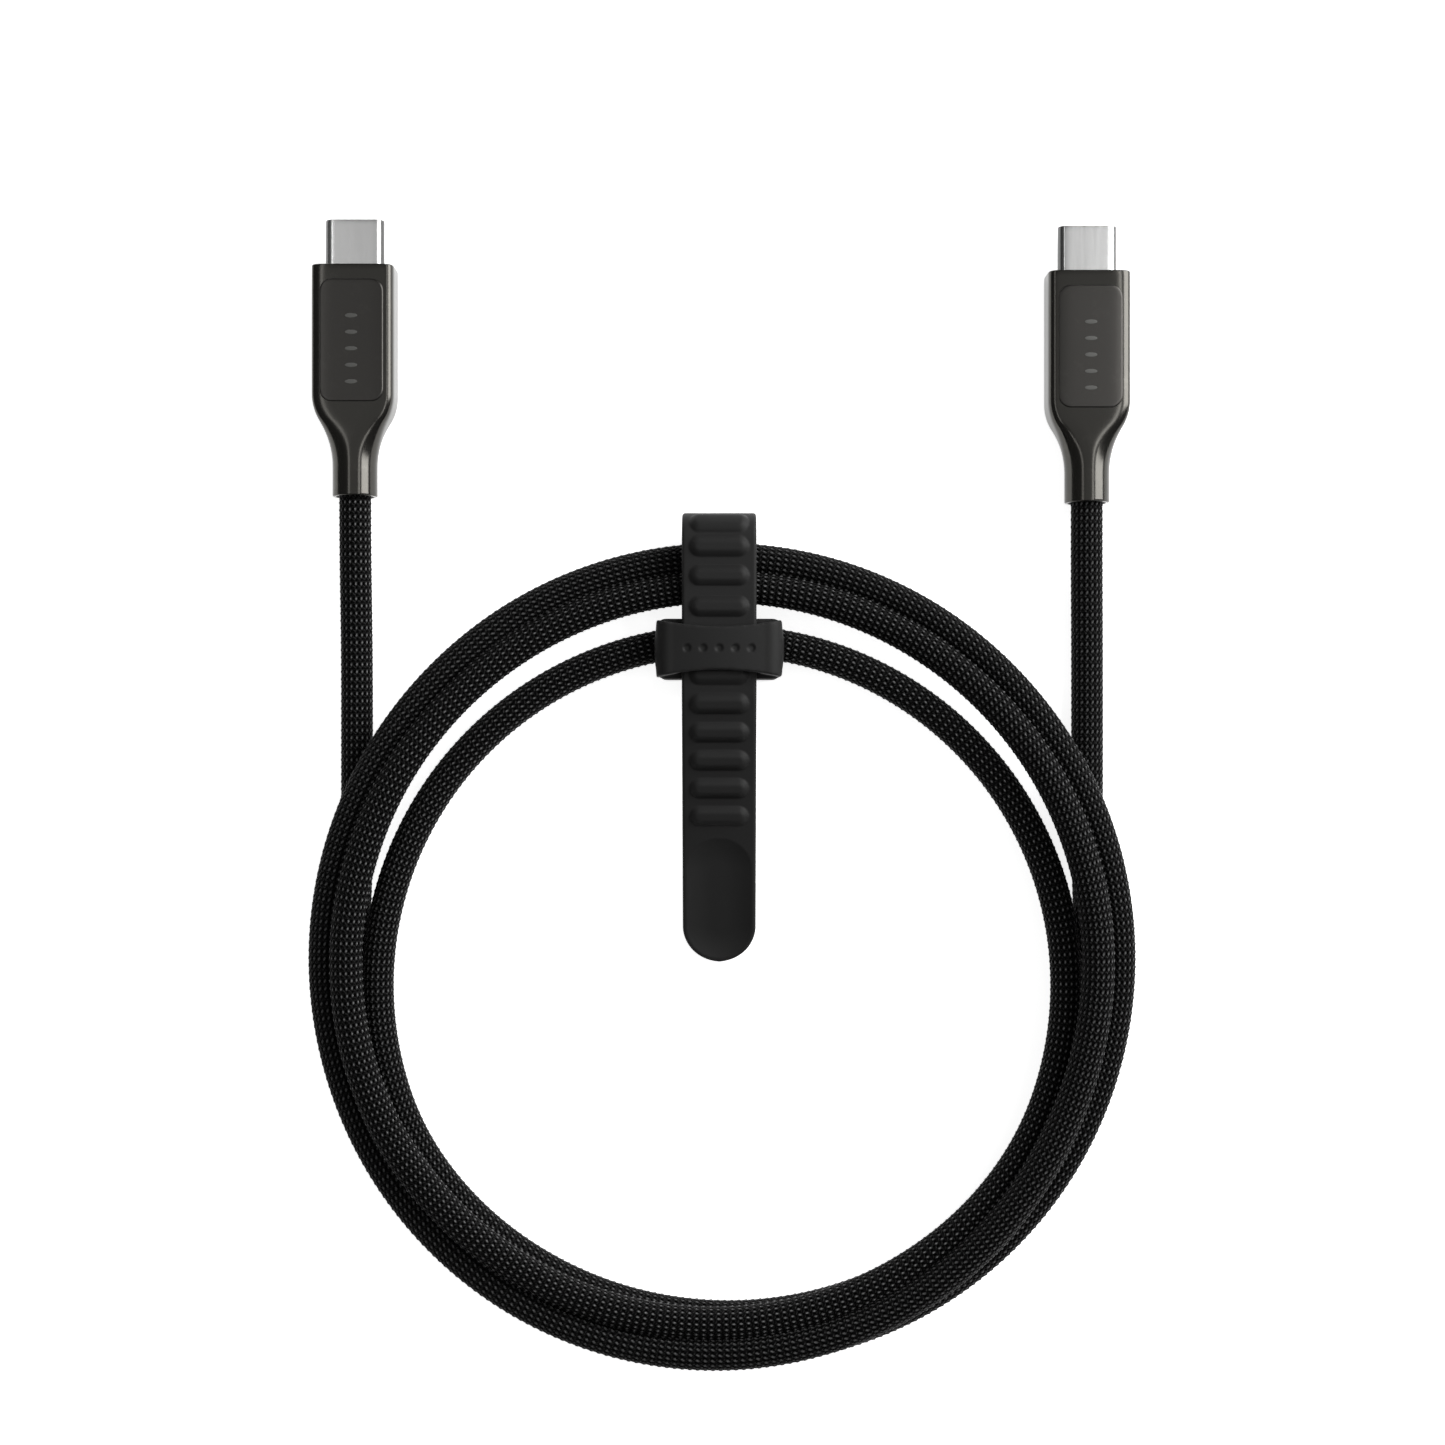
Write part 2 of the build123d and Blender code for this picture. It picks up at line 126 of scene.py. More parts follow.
class TieSizes(bpy.types.PropertyGroup):
    """The silicone tie."""
    width: size("Width", "Width of the strap", 10.3 * MM)
    thickness: size("Thickness", "Thickness of the strap", 1.6 * MM)
    edge: size("Edge", "Rounding of the strap's edges", 0.4 * MM)
    rib_height: size("Rib height", "Height of the strap's ribs", 0.6 * MM)
    voxel: size("Voxel", "Grain of the keeper's mesh", 0.15 * MM)
    colour: colour("Silicone", "Colour of the tie", (0.0138, 0.0138, 0.0137))


class StageSettings(bpy.types.PropertyGroup):
    """Floor, lights and camera."""
    eye_height: size("Eye height", "Height of the camera over the table", 0.286)
    eye_x: size("Eye x", "Place of the camera across the cable", 0.21 * MM)
    eye_y: size("Eye y", "Place of the camera along the cable", -18.4 * MM)
    floor: colour("Floor", "Colour of the floor", (0.86, 0.86, 0.86))
    glow: amount("Floor glow", "Light given by the floor", 0.85, 0.0, 4.0)
    sky: amount("Sky", "Strength of the even light from all round", 1.0, 0.0, 4.0)


# ---------------------------------------------------------------- nodes

def put(tree, kind, inputs=None, **settings):
    """Adds a node, with its settings and inputs. An input is a value or the socket that feeds it."""
    node = tree.nodes.new(kind)
    for name, value in settings.items():
        setattr(node, name, value)
    for key, value in (inputs or {}).items():
        if isinstance(value, bpy.types.NodeSocket):
            tree.links.new(value, node.inputs[key])
        else:
            node.inputs[key].default_value = value
    return node


def calc(tree, operation, *values):
    """The output of one Math node."""
    return put(tree, "ShaderNodeMath", dict(enumerate(values)), operation=operation).outputs[0]


def arithmetic(tree):
    """times, plus, minus, ratio and times_plus in one tree."""
    names = ("MULTIPLY", "ADD", "SUBTRACT", "DIVIDE", "MULTIPLY_ADD")
    return [functools.partial(calc, tree, name) for name in names]


def vector_calc(tree, operation, first, second):
    """The vector that one Vector Math node gives."""
    key = "Scale" if operation == "SCALE" else 1
    return put(tree, "ShaderNodeVectorMath", {0: first, key: second}, operation=operation).outputs["Vector"]


def xyz(tree, vector):
    """The sockets with the x, y and z of a vector."""
    return put(tree, "ShaderNodeSeparateXYZ", {0: vector}).outputs


def vector(tree, x=0.0, y=0.0, z=0.0):
    return put(tree, "ShaderNodeCombineXYZ", {0: x, 1: y, 2: z}).outputs[0]


def noise(tree, place, scale, detail=3.0, roughness=0.5):
    inputs = {"Vector": place, "Scale": scale, "Detail": detail, "Roughness": roughness}
    return put(tree, "ShaderNodeTexNoise", inputs).outputs[0]


def group(name, tree_type, inputs, outputs):
    """A node group with named inputs (socket type, default) and outputs."""
    tree = bpy.data.node_groups.new(name, tree_type)
    for socket_name, (kind, default) in inputs.items():
        socket = tree.interface.new_socket(socket_name, in_out="INPUT", socket_type="NodeSocket" + kind)
        if default is not None:
            socket.default_value = default
    kind = "NodeSocketGeometry" if tree_type == "GeometryNodeTree" else "NodeSocketFloat"
    for socket_name in outputs:
        tree.interface.new_socket(socket_name, in_out="OUTPUT", socket_type=kind)
    return tree, tree.nodes.new("NodeGroupInput").outputs, tree.nodes.new("NodeGroupOutput").inputs


def give(tree, result, **sockets):
    """Feeds a group's outputs, and hands back the finished group."""
    for name, socket in sockets.items():
        tree.links.new(socket, result[name])
    return tree


def give_dressed(tree, geometry, material, result):
    """Makes a geometry smooth and real, gives it a material and feeds it to the group's output."""
    for kind in ("SetShadeSmooth", "RealizeInstances", "SetMaterial"):
        more = {"Material": material} if kind == "SetMaterial" else {}
        geometry = put(tree, "GeometryNode" + kind, {"Geometry": geometry, **more}).outputs[0]
    return give(tree, result, Geometry=geometry)


def grain_group():
    """Fine relief and slow colour change, as on a moulded or coated surface."""
    tree, given, result = group("grain", "ShaderNodeTree", {
        "Fine Scale": ("Float", 3000.0), "Slow Scale": ("Float", 120.0)}, ("Height", "Tone", "Wear"))
    place = put(tree, "ShaderNodeTexCoord").outputs["Object"]
    fine = noise(tree, place, given["Fine Scale"])
    slow = noise(tree, place, given["Slow Scale"], 4.0)
    marks = noise(tree, place, calc(tree, "MULTIPLY", given["Slow Scale"], 6.0), 6.0, 0.75)
    wear = put(tree, "ShaderNodeMapRange", {"Value": marks, "From Min": 0.56, "From Max": 0.74})
    return give(tree, result, Height=fine, Tone=slow, Wear=wear.outputs[0])


def brushed_group():
    """Faint lines along one direction, as drawn or brushed metal has, and a mask of its sides, where the
    shell's steel is painted darker as a painted reflection.
    """
    tree, given, result = group("brushed", "ShaderNodeTree", {
        "Across Scale": ("Float", 9000.0), "Along Scale": ("Float", 500.0)}, ("Height", "Tone", "Side"))
    own = put(tree, "ShaderNodeTexCoord").outputs
    scales = vector(tree, given["Across Scale"], given["Along Scale"], given["Across Scale"])
    stretched = vector_calc(tree, "MULTIPLY", own["Object"], scales)
    side = put(tree, "ShaderNodeMapRange", {
        "Value": calc(tree, "ABSOLUTE", xyz(tree, own["Normal"])[0]), "From Min": 0.18, "From Max": 0.72})
    return give(tree, result, Height=noise(tree, stretched, 1.0, 2.0),
                Tone=noise(tree, stretched, 0.22, 5.0, 0.7), Side=side.outputs[0])


def yarn_group():
    """The filaments of a flat yarn, from its own coordinates: across the yarn, and millimetres along it. It
    also gives a mask for painted highlight on raised crowns and painted shade where the yarn lies low.
    """
    tree, given, result = group("yarn", "ShaderNodeTree", {
        "Filaments": ("Float", 7.0), "Lean": ("Float", 0.5)}, ("Height", "Light", "Tone"))
    times, plus, _, _, times_plus = arithmetic(tree)
    uv = xyz(tree, put(tree, "ShaderNodeUVMap", uv_map="UVMap").outputs[0])
    across = times_plus(uv[1], given["Lean"], uv[0])
    wave = calc(tree, "SINE", times(across, times(given["Filaments"], math.tau)))
    ridge = times_plus(wave, 0.5, 0.5)
    place = vector(tree, uv[0], uv[1])
    loose = noise(tree, vector_calc(tree, "MULTIPLY", place, (14.0, 2.0, 1.0)), 1.0)
    # painted highlight and painted shade: the mask is lighter where the braid lifts the yarn and along its
    # crown, and darker where the yarn lies low
    lift = put(tree, "ShaderNodeAttribute", attribute_name="lift").outputs["Fac"]
    raised = calc(tree, "POWER", calc(tree, "MAXIMUM", lift, 0.0), 3.4)
    middle = calc(tree, "MAXIMUM", calc(tree, "SINE", times(uv[0], math.pi)), 0.0)
    filaments = times_plus(ridge, 0.45, times(loose, 0.9))
    return give(tree, result, Height=plus(ridge, loose), Light=times(times(raised, middle), filaments),
                Tone=noise(tree, place, 1.3))


def shared(name):
    """A node group that more than one material uses, built once."""
    builders = {"grain": grain_group, "brushed": brushed_group, "yarn": yarn_group}
    return bpy.data.node_groups.get(name) or builders[name]()


MIX_COLOUR_INPUTS = (0, 6, 7)             # the Mix node has an A and a B for each kind of data
MIX_COLOUR_OUTPUT = 2


class Finish:
    """A material under construction: its tree, its shader and the shared group that varies it."""

    def __init__(self, name, group_name, group_values, **constants):
        self.material = bpy.data.materials.new(name)
        self.material.use_nodes = True
        self.tree = self.material.node_tree
        self.tree.nodes.clear()
        self.shader = put(self.tree, "ShaderNodeBsdfPrincipled", constants)
        put(self.tree, "ShaderNodeOutputMaterial", {"Surface": self.shader.outputs[0]})
        self.effect = put(self.tree, "ShaderNodeGroup", node_tree=shared(group_name))
        for key, value in group_values.items():
            self.effect.inputs[key].default_value = value

    def mask(self, output):
        return self.effect.outputs[output]

    def mix_colour(self, mask, low, high, socket="Base Color"):
        mix = self.tree.nodes.new("ShaderNodeMix")
        mix.data_type = "RGBA"
        factor, a, b = (mix.inputs[k] for k in MIX_COLOUR_INPUTS)
        self.tree.links.new(mask, factor)
        a.default_value = (*low, 1.0)
        b.default_value = (*high, 1.0)
        self.tree.links.new(mix.outputs[MIX_COLOUR_OUTPUT], self.shader.inputs[socket])

    def vary(self, socket, mask, low, high):
        value = put(self.tree, "ShaderNodeMapRange", {"Value": mask, "To Min": low, "To Max": high})
        self.tree.links.new(value.outputs[0], self.shader.inputs[socket])

    def bump(self, height, distance, strength=1.0):
        inputs = {"Height": height, "Distance": distance, "Strength": strength}
        bump = put(self.tree, "ShaderNodeBump", inputs)
        self.tree.links.new(bump.outputs[0], self.shader.inputs["Normal"])


def shade(base, factor):
    """A colour made darker or lighter."""
    return tuple(min(1.0, c * factor) for c in base)


def moulded(name, base, roughness=0.55, specular=0.35):
    """Moulded plastic, rubber or solder mask."""
    finish = Finish(name, "grain", {"Fine Scale": 2600.0, "Slow Scale": 140.0},
                    **{"Specular IOR Level": specular})
    finish.mix_colour(finish.mask("Tone"), shade(base, 0.88), shade(base, 1.12))
    finish.vary("Roughness", finish.mask("Wear"), roughness, roughness - 0.12)
    finish.bump(finish.mask("Height"), 0.004 * MM)
    return finish.material


def plated(name, base, roughness=0.3, low=0.92, high=1.08, by="Tone"):
    """Bare or plated metal with faint lines along the plug, its shades spread by one of the masks."""
    finish = Finish(name, "brushed", {}, Metallic=1.0)
    finish.mix_colour(finish.mask(by), shade(base, high), shade(base, low))
    finish.vary("Roughness", finish.mask("Tone"), roughness - 0.06, roughness + 0.06)
    finish.bump(finish.mask("Height"), 0.002 * MM)
    return finish.material


def coated_metal(name, base, roughness, wear_gain, depth):
    """Dark coated metal: a thin bright layer over a warm dark body."""
    finish = Finish(name, "grain", {"Fine Scale": 6000.0, "Slow Scale": 60.0}, Metallic=0.92)
    finish.mix_colour(finish.mask("Wear"), base, shade(base, wear_gain))
    finish.vary("Roughness", finish.mask("Tone"), roughness - 0.03, roughness + 0.04)
    finish.bump(finish.mask("Height"), depth)
    return finish.material


def yarn_finish(cable):
    """Black nylon filaments, painted light where a yarn is raised and painted dark where it lies low:
    painted highlight and painted shade.
    """
    finish = Finish("braided_nylon", "yarn", {"Filaments": 6.0, "Lean": 0.35},
                    **{"Specular IOR Level": 0.03})
    # painted highlight over painted shade, by the yarn's mask of raised crowns
    finish.mix_colour(finish.mask("Light"), cable.colour, cable.painted_highlight_colour)
    finish.vary("Roughness", finish.mask("Tone"), 0.24, 0.38)
    finish.bump(finish.mask("Height"), 0.02 * MM, 0.6)
    return finish.material


# ---------------------------------------------------------------- meshes

def mesh_piece(name, points, faces, material, body):
    """A finished mesh from points in metres, riding on a body. Faces are shaded smooth."""
    mesh = bpy.data.meshes.new(name)
    mesh.from_pydata([tuple(p) for p in points], [], faces)
    mesh.polygons.foreach_set("use_smooth", [True] * len(mesh.polygons))
    mesh.materials.append(material)
    mesh.update()
    piece = bpy.data.objects.new(name, mesh)
    bpy.context.collection.objects.link(piece)
    if body:
        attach(piece, body)
    return piece


def loft(rings, closed_along=False, first_pole=None, last_pole=None):
    """Quads between rings of equal length, with a fan to a pole at an end that has one."""
    n = len(rings[0])
    points = [p for ring in rings for p in ring]
    faces = []
    for k in range(len(rings) if closed_along else len(rings) - 1):
        start, after = k * n, (k + 1) % len(rings) * n
        for i in range(n):
            j = (i + 1) % n
            faces.append((start + i, start + j, after + j, after + i))
    for pole, start, turn in ((first_pole, 0, -1), (last_pole, (len(rings) - 1) * n, 1)):
        if pole is None:
            continue
        points.append(pole)
        for i in range(n):
            pair = (start + i, start + (i + 1) % n)[::turn]
            faces.append((*pair, len(points) - 1))
    return points, faces


def face_outwards(piece):
    """Turns every face outwards on a closed mesh."""
    shape = bmesh.new()
    shape.from_mesh(piece.data)
    bmesh.ops.remove_doubles(shape, verts=shape.verts, dist=0.0005 * MM)
    bmesh.ops.recalc_face_normals(shape, faces=shape.faces)
    shape.to_mesh(piece.data)
    shape.free()


def even_spread(curve, n, corner_weight):
    """n places round a closed outline, closer together where it turns."""
    steps = np.roll(curve, -1, axis=0) - curve
    lengths = np.hypot(*steps.T)
    heading = np.arctan2(steps[:, 1], steps[:, 0])
    turn = np.abs((np.diff(np.append(heading, heading[0])) + math.pi) % math.tau - math.pi)
    travel = np.concatenate([[0.0], np.cumsum(lengths + corner_weight * turn)])
    wanted = np.arange(n) * travel[-1] / n
    closed = np.vstack([curve, curve[:1]])
    return np.column_stack([np.interp(wanted, travel, closed[:, k]) for k in range(2)])


def squarish(half_x, half_z, power, n=96, corner_weight=1.4):
    """A rounded outline between an ellipse (power 2) and a rectangle, in millimetres."""
    a = np.linspace(0, math.tau, 1440, endpoint=False)
    c, s = np.cos(a), np.sin(a)
    curve = np.column_stack([half_x * np.sign(c) * np.abs(c) ** (2 / power),
                             half_z * np.sign(s) * np.abs(s) ** (2 / power)])
    return even_spread(curve, n, corner_weight)


def rounded_box(half_x, half_z, corner, n=96, corner_weight=1.4, crown=0.0):
    """A rectangle with round corners, in millimetres, its long sides raised a little in the middle."""
    a = np.linspace(0, math.tau, 1440, endpoint=False)
    c, s = np.cos(a), np.sin(a)
    reach = np.maximum(np.abs(c) / half_x, np.abs(s) / half_z)
    curve = np.column_stack([c / reach, s / reach])
    inner = np.array([half_x - corner, half_z - corner])
    core = np.clip(curve, -inner, inner)
    out = curve - core
    length = np.maximum(np.hypot(*out.T), 1e-9)
    curve = core + out / length[:, None] * np.where(length > 1e-6, corner, 0.0)[:, None]
    curve[:, 1] += crown * np.sign(curve[:, 1]) * np.maximum(0, 1 - (curve[:, 0] / half_x) ** 2)
    return even_spread(curve, n, corner_weight)


# ---------------------------------------------------------------- cable

COIL_MIDDLE = (0.15, -51.2)
INNER_RING_DROP = 3.9                     # the innermost turn is centred this much lower
INNER_RING_RADIUS = 48.2
STATIONS = (20.0, 66.0, 90.0, 135.0)      # degrees away from the tie
LOW_LANE = ((51.6, 2.28), (51.6, 2.28), (51.6, 2.28), (53.2, 2.28))
OUTER_LANE = ((55.8, 4.15), (55.3, 6.7), (55.35, 6.4), (55.45, 6.0))
TOP_LANE = ((51.7, 5.7), (51.65, 9.2), (51.85, 9.5), (52.0, 9.9))
INNER_LANE = ((44.3, 4.5), (46.4, 4.6), (48.1, 4.95), (50.4, 5.75))
LANES = (LOW_LANE, OUTER_LANE, TOP_LANE, INNER_LANE)
HALF_WAY = ((55.4, 3.15), (54.8, 7.7), (50.6, 7.4), (50.85, 3.15))   # between one lane and the next
CHANGE_FROM, CHANGE_TO = 200.0, 335.0     # degrees round the coil where a strand changes lane
TURNS = 3.5
STEP = 15.0                               # degrees between the coil's control points


def ease(t):
    """A smooth step from 0 to 1."""
    t = min(max(t, 0.0), 1.0)
    return t * t * (3 - 2 * t)


def in_lane(index, away):
    """A strand's (radius, height) in one lane, at an angle away from the tie, in millimetres."""
    stations = LANES[index]
    here = np.array(stations[0])
    for i in range(1, len(STATIONS)):
        t = ease((away - STATIONS[i - 1]) / (STATIONS[i] - STATIONS[i - 1]))
        here = here + (np.array(stations[i]) - here) * t
    if LANES[index] is INNER_LANE:
        a = math.radians(away)
        on_circle = math.sqrt(INNER_RING_RADIUS ** 2 - (INNER_RING_DROP * math.sin(a)) ** 2)
        here[0] = min(on_circle - INNER_RING_DROP * math.cos(a), INNER_LANE[-1][0])
    return here


def strand(total):
    """(radius, height) after so many degrees, counted from the left side of the coil, from 180 up."""
    turn, angle = divmod(total, 360.0)
    lane = int(turn) % len(LANES)
    away = abs((angle - 90 + 180) % 360 - 180)
    if angle < 180:                        # over the top, between two passes along the bottom
        return in_lane(lane, away)
    start, end = in_lane(lane, away), in_lane((lane + 1) % len(LANES), away)
    t = min(max((angle - CHANGE_FROM) / (CHANGE_TO - CHANGE_FROM), 0.0), 1.0)
    middle = 2 * np.array(HALF_WAY[lane]) - (start + end) / 2
    return start * (1 - t) ** 2 + middle * 2 * t * (1 - t) + end * t * t


def coil_points():
    """Control points of the coil. They stand a little outside the turns, as a spline cuts its corners."""
    outside = 1 / ((6 + 2 * math.cos(math.radians(STEP))) / 8)
    points = []
    for k in range(int(TURNS * 360 / STEP) + 1):
        total = 180 + k * STEP
        radius, height = strand(total)
        a = math.radians(total)
        points.append((COIL_MIDDLE[0] + outside * radius * math.cos(a),
                       COIL_MIDDLE[1] + outside * radius * math.sin(a), height))
    return points


def plug_tip(side):
    """Middle of the mouth of one plug, in millimetres."""
    low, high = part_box(f"connector_shell_{side}")
    return (low[0] + high[0]) / 2 / MM, high[1] / MM, (low[2] + high[2]) / 2 / MM


CABLE_START = 25.3                        # behind the plug's tip
STRAIGHT_OUT, BEND_DOWN = 36.8, 46.8      # points where the lead is still level, and where it starts down
LEAD_DOWN = (-8.0, -22.0, -37.6)          # y of the lead's last points, on the table


def lead_points(side):
    """From the crimp, straight out of the neck, down to the table and straight on to the coil."""
    x, tip, z = plug_tip(side)
    sign = -1 if side == "a" else 1
    coil_x = COIL_MIDDLE[0] + sign * LOW_LANE[0][0]
    low = LOW_LANE[0][1]
    out = [(x, tip - CABLE_START, z), (x, tip - STRAIGHT_OUT, z), (x, tip - BEND_DOWN, z - 0.1)]
    return out + [(coil_x, y, low) for y in LEAD_DOWN]


def cable_route():
    """Control points from one crimp to the other, in millimetres."""
    return lead_points("a") + coil_points() + lead_points("b")[::-1]


def spline_curve(name, points):
    """A curve of one open NURBS spline with these control points, in millimetres."""
    curve = bpy.data.curves.new(name, "CURVE")
    curve.dimensions = "3D"
    curve.resolution_u = 14
    spline = curve.splines.new("NURBS")
    spline.points.add(len(points) - 1)
    for point, place in zip(spline.points, points):
        point.co = (*(v * MM for v in place), 1.0)
    spline.order_u = 3
    spline.use_endpoint_u = True
    piece = bpy.data.objects.new(name, curve)
    bpy.context.collection.objects.link(piece)
    return piece


def braid_tree():
    """Yarns that wind round the cable both ways and pass over and under each other."""
    tree, given, result = group("braid", "GeometryNodeTree", {
        "Cable": ("Object", None), "Start": ("Float", 0.0), "Length": ("Float", 0.1), "Rows": ("Int", 100),
        "Carriers": ("Int", 18), "Lay Length": ("Float", 0.0186), "Base Radius": ("Float", 0.0020),
        "Yarn Width": ("Float", 0.0006), "Yarn Height": ("Float", 0.0001), "Rise": ("Float", 0.00007),
        "Groove": ("Float", 0.00005), "Material": ("Material", None)}, ("Geometry",))
    times, plus, minus, ratio, times_plus = arithmetic(tree)
    line = put(tree, "GeometryNodeObjectInfo", {"Object": given["Cable"]}, transform_space="ORIGINAL")
    line = put(tree, "GeometryNodeSetCurveNormal", {"Curve": line.outputs["Geometry"]}, mode="Z_UP")

    # one yarn is a long three-sided rod, crown side first, that is laid along the cable below
    rod = put(tree, "GeometryNodeMeshCylinder",
              {"Vertices": 3, "Side Segments": given["Rows"], "Radius": 1.0, "Depth": 1.0},
              fill_type="TRIANGLE_FAN")
    spots = put(tree, "GeometryNodePoints", {"Count": times(given["Carriers"], 2.0)})
    yarns = put(tree, "GeometryNodeInstanceOnPoints",
                {"Points": spots.outputs[0], "Instance": rod.outputs["Mesh"]})
    capture = tree.nodes.new("GeometryNodeCaptureAttribute")
    capture.domain = "INSTANCE"
    capture.capture_items.new("FLOAT", "Yarn")
    tree.links.new(yarns.outputs[0], capture.inputs["Geometry"])
    tree.links.new(tree.nodes.new("GeometryNodeInputIndex").outputs[0], capture.inputs["Yarn"])
    made = put(tree, "GeometryNodeRealizeInstances", {"Geometry": capture.outputs["Geometry"]})

    yarn = capture.outputs["Yarn"]
    local = xyz(tree, tree.nodes.new("GeometryNodeInputPosition").outputs[0])
    along = times_plus(plus(local[2], 0.5), given["Length"], given["Start"])
    side = ratio(local[1], math.sqrt(3) / 2)
    crown = ratio(plus(local[0], 0.5), 1.5)
    second_way = calc(tree, "GREATER_THAN", yarn, minus(given["Carriers"], 0.5))
    way = minus(1.0, times(2.0, second_way))

    # the yarn leans to the cable's line by the angle of its helix
    lean = calc(tree, "ARCTAN2", times(given["Base Radius"], math.tau), given["Lay Length"])
    across = times(side, times(given["Yarn Width"], 0.5))
    place = minus(along, times(times(across, calc(tree, "SINE", lean)), way))
    turn = times(way, times(ratio(along, given["Lay Length"]), math.tau))
    own = times(yarn, ratio(math.tau, given["Carriers"]))
    spread = ratio(times(across, calc(tree, "COSINE", lean)), given["Base Radius"])
    angle = plus(plus(turn, own), spread)

    # over one, under one
    crossings = ratio(times(given["Carriers"], math.tau), given["Lay Length"])
    over = times(calc(tree, "COSINE", times(along, crossings)), way)
    rows = calc(tree, "COSINE", times(angle, given["Carriers"]))
    bed = times_plus(rows, given["Groove"], times_plus(over, given["Rise"], given["Base Radius"]))
    radius = times_plus(crown, given["Yarn Height"], bed)

    here = put(tree, "GeometryNodeSampleCurve", {"Curves": line.outputs[0], "Length": place},
               mode="LENGTH", use_all_curves=True).outputs
    up = vector_calc(tree, "CROSS_PRODUCT", here["Tangent"], here["Normal"])
    out = vector_calc(tree, "ADD",
                      vector_calc(tree, "SCALE", here["Normal"], calc(tree, "COSINE", angle)),
                      vector_calc(tree, "SCALE", up, calc(tree, "SINE", angle)))
    where = vector_calc(tree, "ADD", here["Position"], vector_calc(tree, "SCALE", out, radius))
    uv = vector(tree, times_plus(side, 0.5, 0.5), plus(ratio(along, MM), times(yarn, 7.3)))
    # lift: how far the braid raises a yarn here; the yarn's material paints raised parts light as painted
    # highlight and low parts dark as painted shade
    lift = times(times_plus(over, 0.5, 0.5), times_plus(rows, 0.45, 0.55))
    marked = made.outputs[0]
    for name, value, kind, domain in (("UVMap", uv, "FLOAT2", "CORNER"), ("lift", lift, "FLOAT", "POINT")):
        inputs = {"Geometry": marked, "Name": name, "Value": value}
        store = put(tree, "GeometryNodeStoreNamedAttribute", inputs, data_type=kind, domain=domain)
        marked = store.outputs[0]
    moved = put(tree, "GeometryNodeSetPosition", {"Geometry": marked, "Position": where})
    return give_dressed(tree, moved.outputs[0], given["Material"], result)


def grown(name, tree, inputs, body):
    """Runs a node tree on an empty mesh, and keeps the result as a plain mesh piece."""
    host = bpy.data.objects.new(name, bpy.data.meshes.new(name))
    bpy.context.collection.objects.link(host)
    modifier = host.modifiers.new("grow", "NODES")
    modifier.node_group = tree
    sockets = {item.name: item.identifier for item in tree.interface.items_tree if item.in_out == "INPUT"}
    for key, value in inputs.items():
        modifier[sockets[key]] = value
    evaluated = host.evaluated_get(bpy.context.evaluated_depsgraph_get())
    mesh = bpy.data.meshes.new_from_object(evaluated)
    host.modifiers.remove(modifier)
    host.data = mesh
    mesh.name = name
    if not mesh.polygons:
        raise RuntimeError(f"{name}: its node tree made nothing")
    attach(host, body)
    return host


class CABLE_OT_lay_cable(bpy.types.Operator):
    """Lays the cable from plug to plug through its coil, and braids its sleeve"""
    bl_idname = "cable.lay_cable"
    bl_label = "Cable"

    PARTS = 8

    def execute(self, context):
        cable = context.scene.cable_sizes
        route = cable_route()
        piece = spline_curve("cable_core", route)
        guide = spline_curve("guide", route)
        braid = self.braid(guide, cable)
        bpy.data.objects.remove(guide)

        piece.data.bevel_depth = cable.core_radius
        piece.data.bevel_resolution = 3
        piece.data.use_fill_caps = True
        piece.data.materials.append(moulded("cable_jacket", (0.006, 0.006, 0.006), 0.8, specular=0.1))
        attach(piece, "cable")
        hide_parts("lead_a", "lead_b", "coil")
        return {"FINISHED"}

    def measure(self, guide):
        """Length of the cable's middle line, in metres."""
        line = bpy.data.meshes.new_from_object(
            guide.evaluated_get(bpy.context.evaluated_depsgraph_get()))
        points = np.array([v.co[:] for v in line.vertices])
        return float(np.linalg.norm(np.diff(points, axis=0), axis=1).sum())

    def braid(self, guide, cable):
        tree = braid_tree()
        yarn = yarn_finish(cable)
        length = self.measure(guide)
        row = cable.lay_length / cable.carriers / 4
        rows = int(length / row / self.PARTS)
        part = length / self.PARTS
        pieces = []
        for k in range(self.PARTS):
            pieces.append(grown(f"braid_{k + 1}", tree, {
                "Cable": guide, "Start": k * part, "Length": part, "Rows": rows,
                "Carriers": cable.carriers, "Lay Length": cable.lay_length,
                "Base Radius": cable.yarn_radius, "Yarn Width": cable.yarn_width,
                "Yarn Height": cable.yarn_height, "Rise": cable.yarn_rise, "Groove": cable.groove,
                "Material": yarn,
            }, "cable"))
        return pieces


# ---------------------------------------------------------------- plugs

SHELL_OUT = 6.65                          # distances behind the tip, in millimetres
SHOULDER_AT = 24.7
CAVITY_END = 25.0
CRIMP_SEAT_END = 30.05
NECK_END = 38.9
BUSH_SEAT = 36.4
CONVEX_R, CONCAVE_R, SHOULDER_TURN = 7.6, 13.2, 29.0
THINNING = 10.0                           # length over which the housing's height shrinks to the neck's
SKIN_STATIONS = ((7.6, SHOULDER_AT, 9), (25.0, 35.2, 42), (36.0, 38.6, 4))    # from, to, sections
NECK_LIP = 0.18                           # rounding of the neck's end
CHAMFER = 0.05                            # of the bush's seat and the front opening
HALF_W, HALF_T = 5.75, 3.15
NECK_TURN = math.radians(SHOULDER_TURN)
NECK_HALF = HALF_W - (CONVEX_R + CONCAVE_R) * (1 - math.cos(NECK_TURN))
CAVITY = (4.9, 2.35, 0.5)                 # half width, half height, corner
CRIMP_SEAT_R, BORE_R, BUSH_SEAT_R = 2.65, 2.28, 2.62
PLATE = (8.95, 17.1, 17.35)               # width, length, distance of its middle behind the tip
PLATE_CORNER = 1.7
PLATE_DEPTH = 0.34                        # how far the plate's sides go down below its top
PLATE_RINGS = (0.93, 0.85, 0.75, 0.62, 0.48, 0.33, 0.18, 0.07)    # shares of its half width
MARK = (1.75, 0.62, 0.05)                 # width, length, height
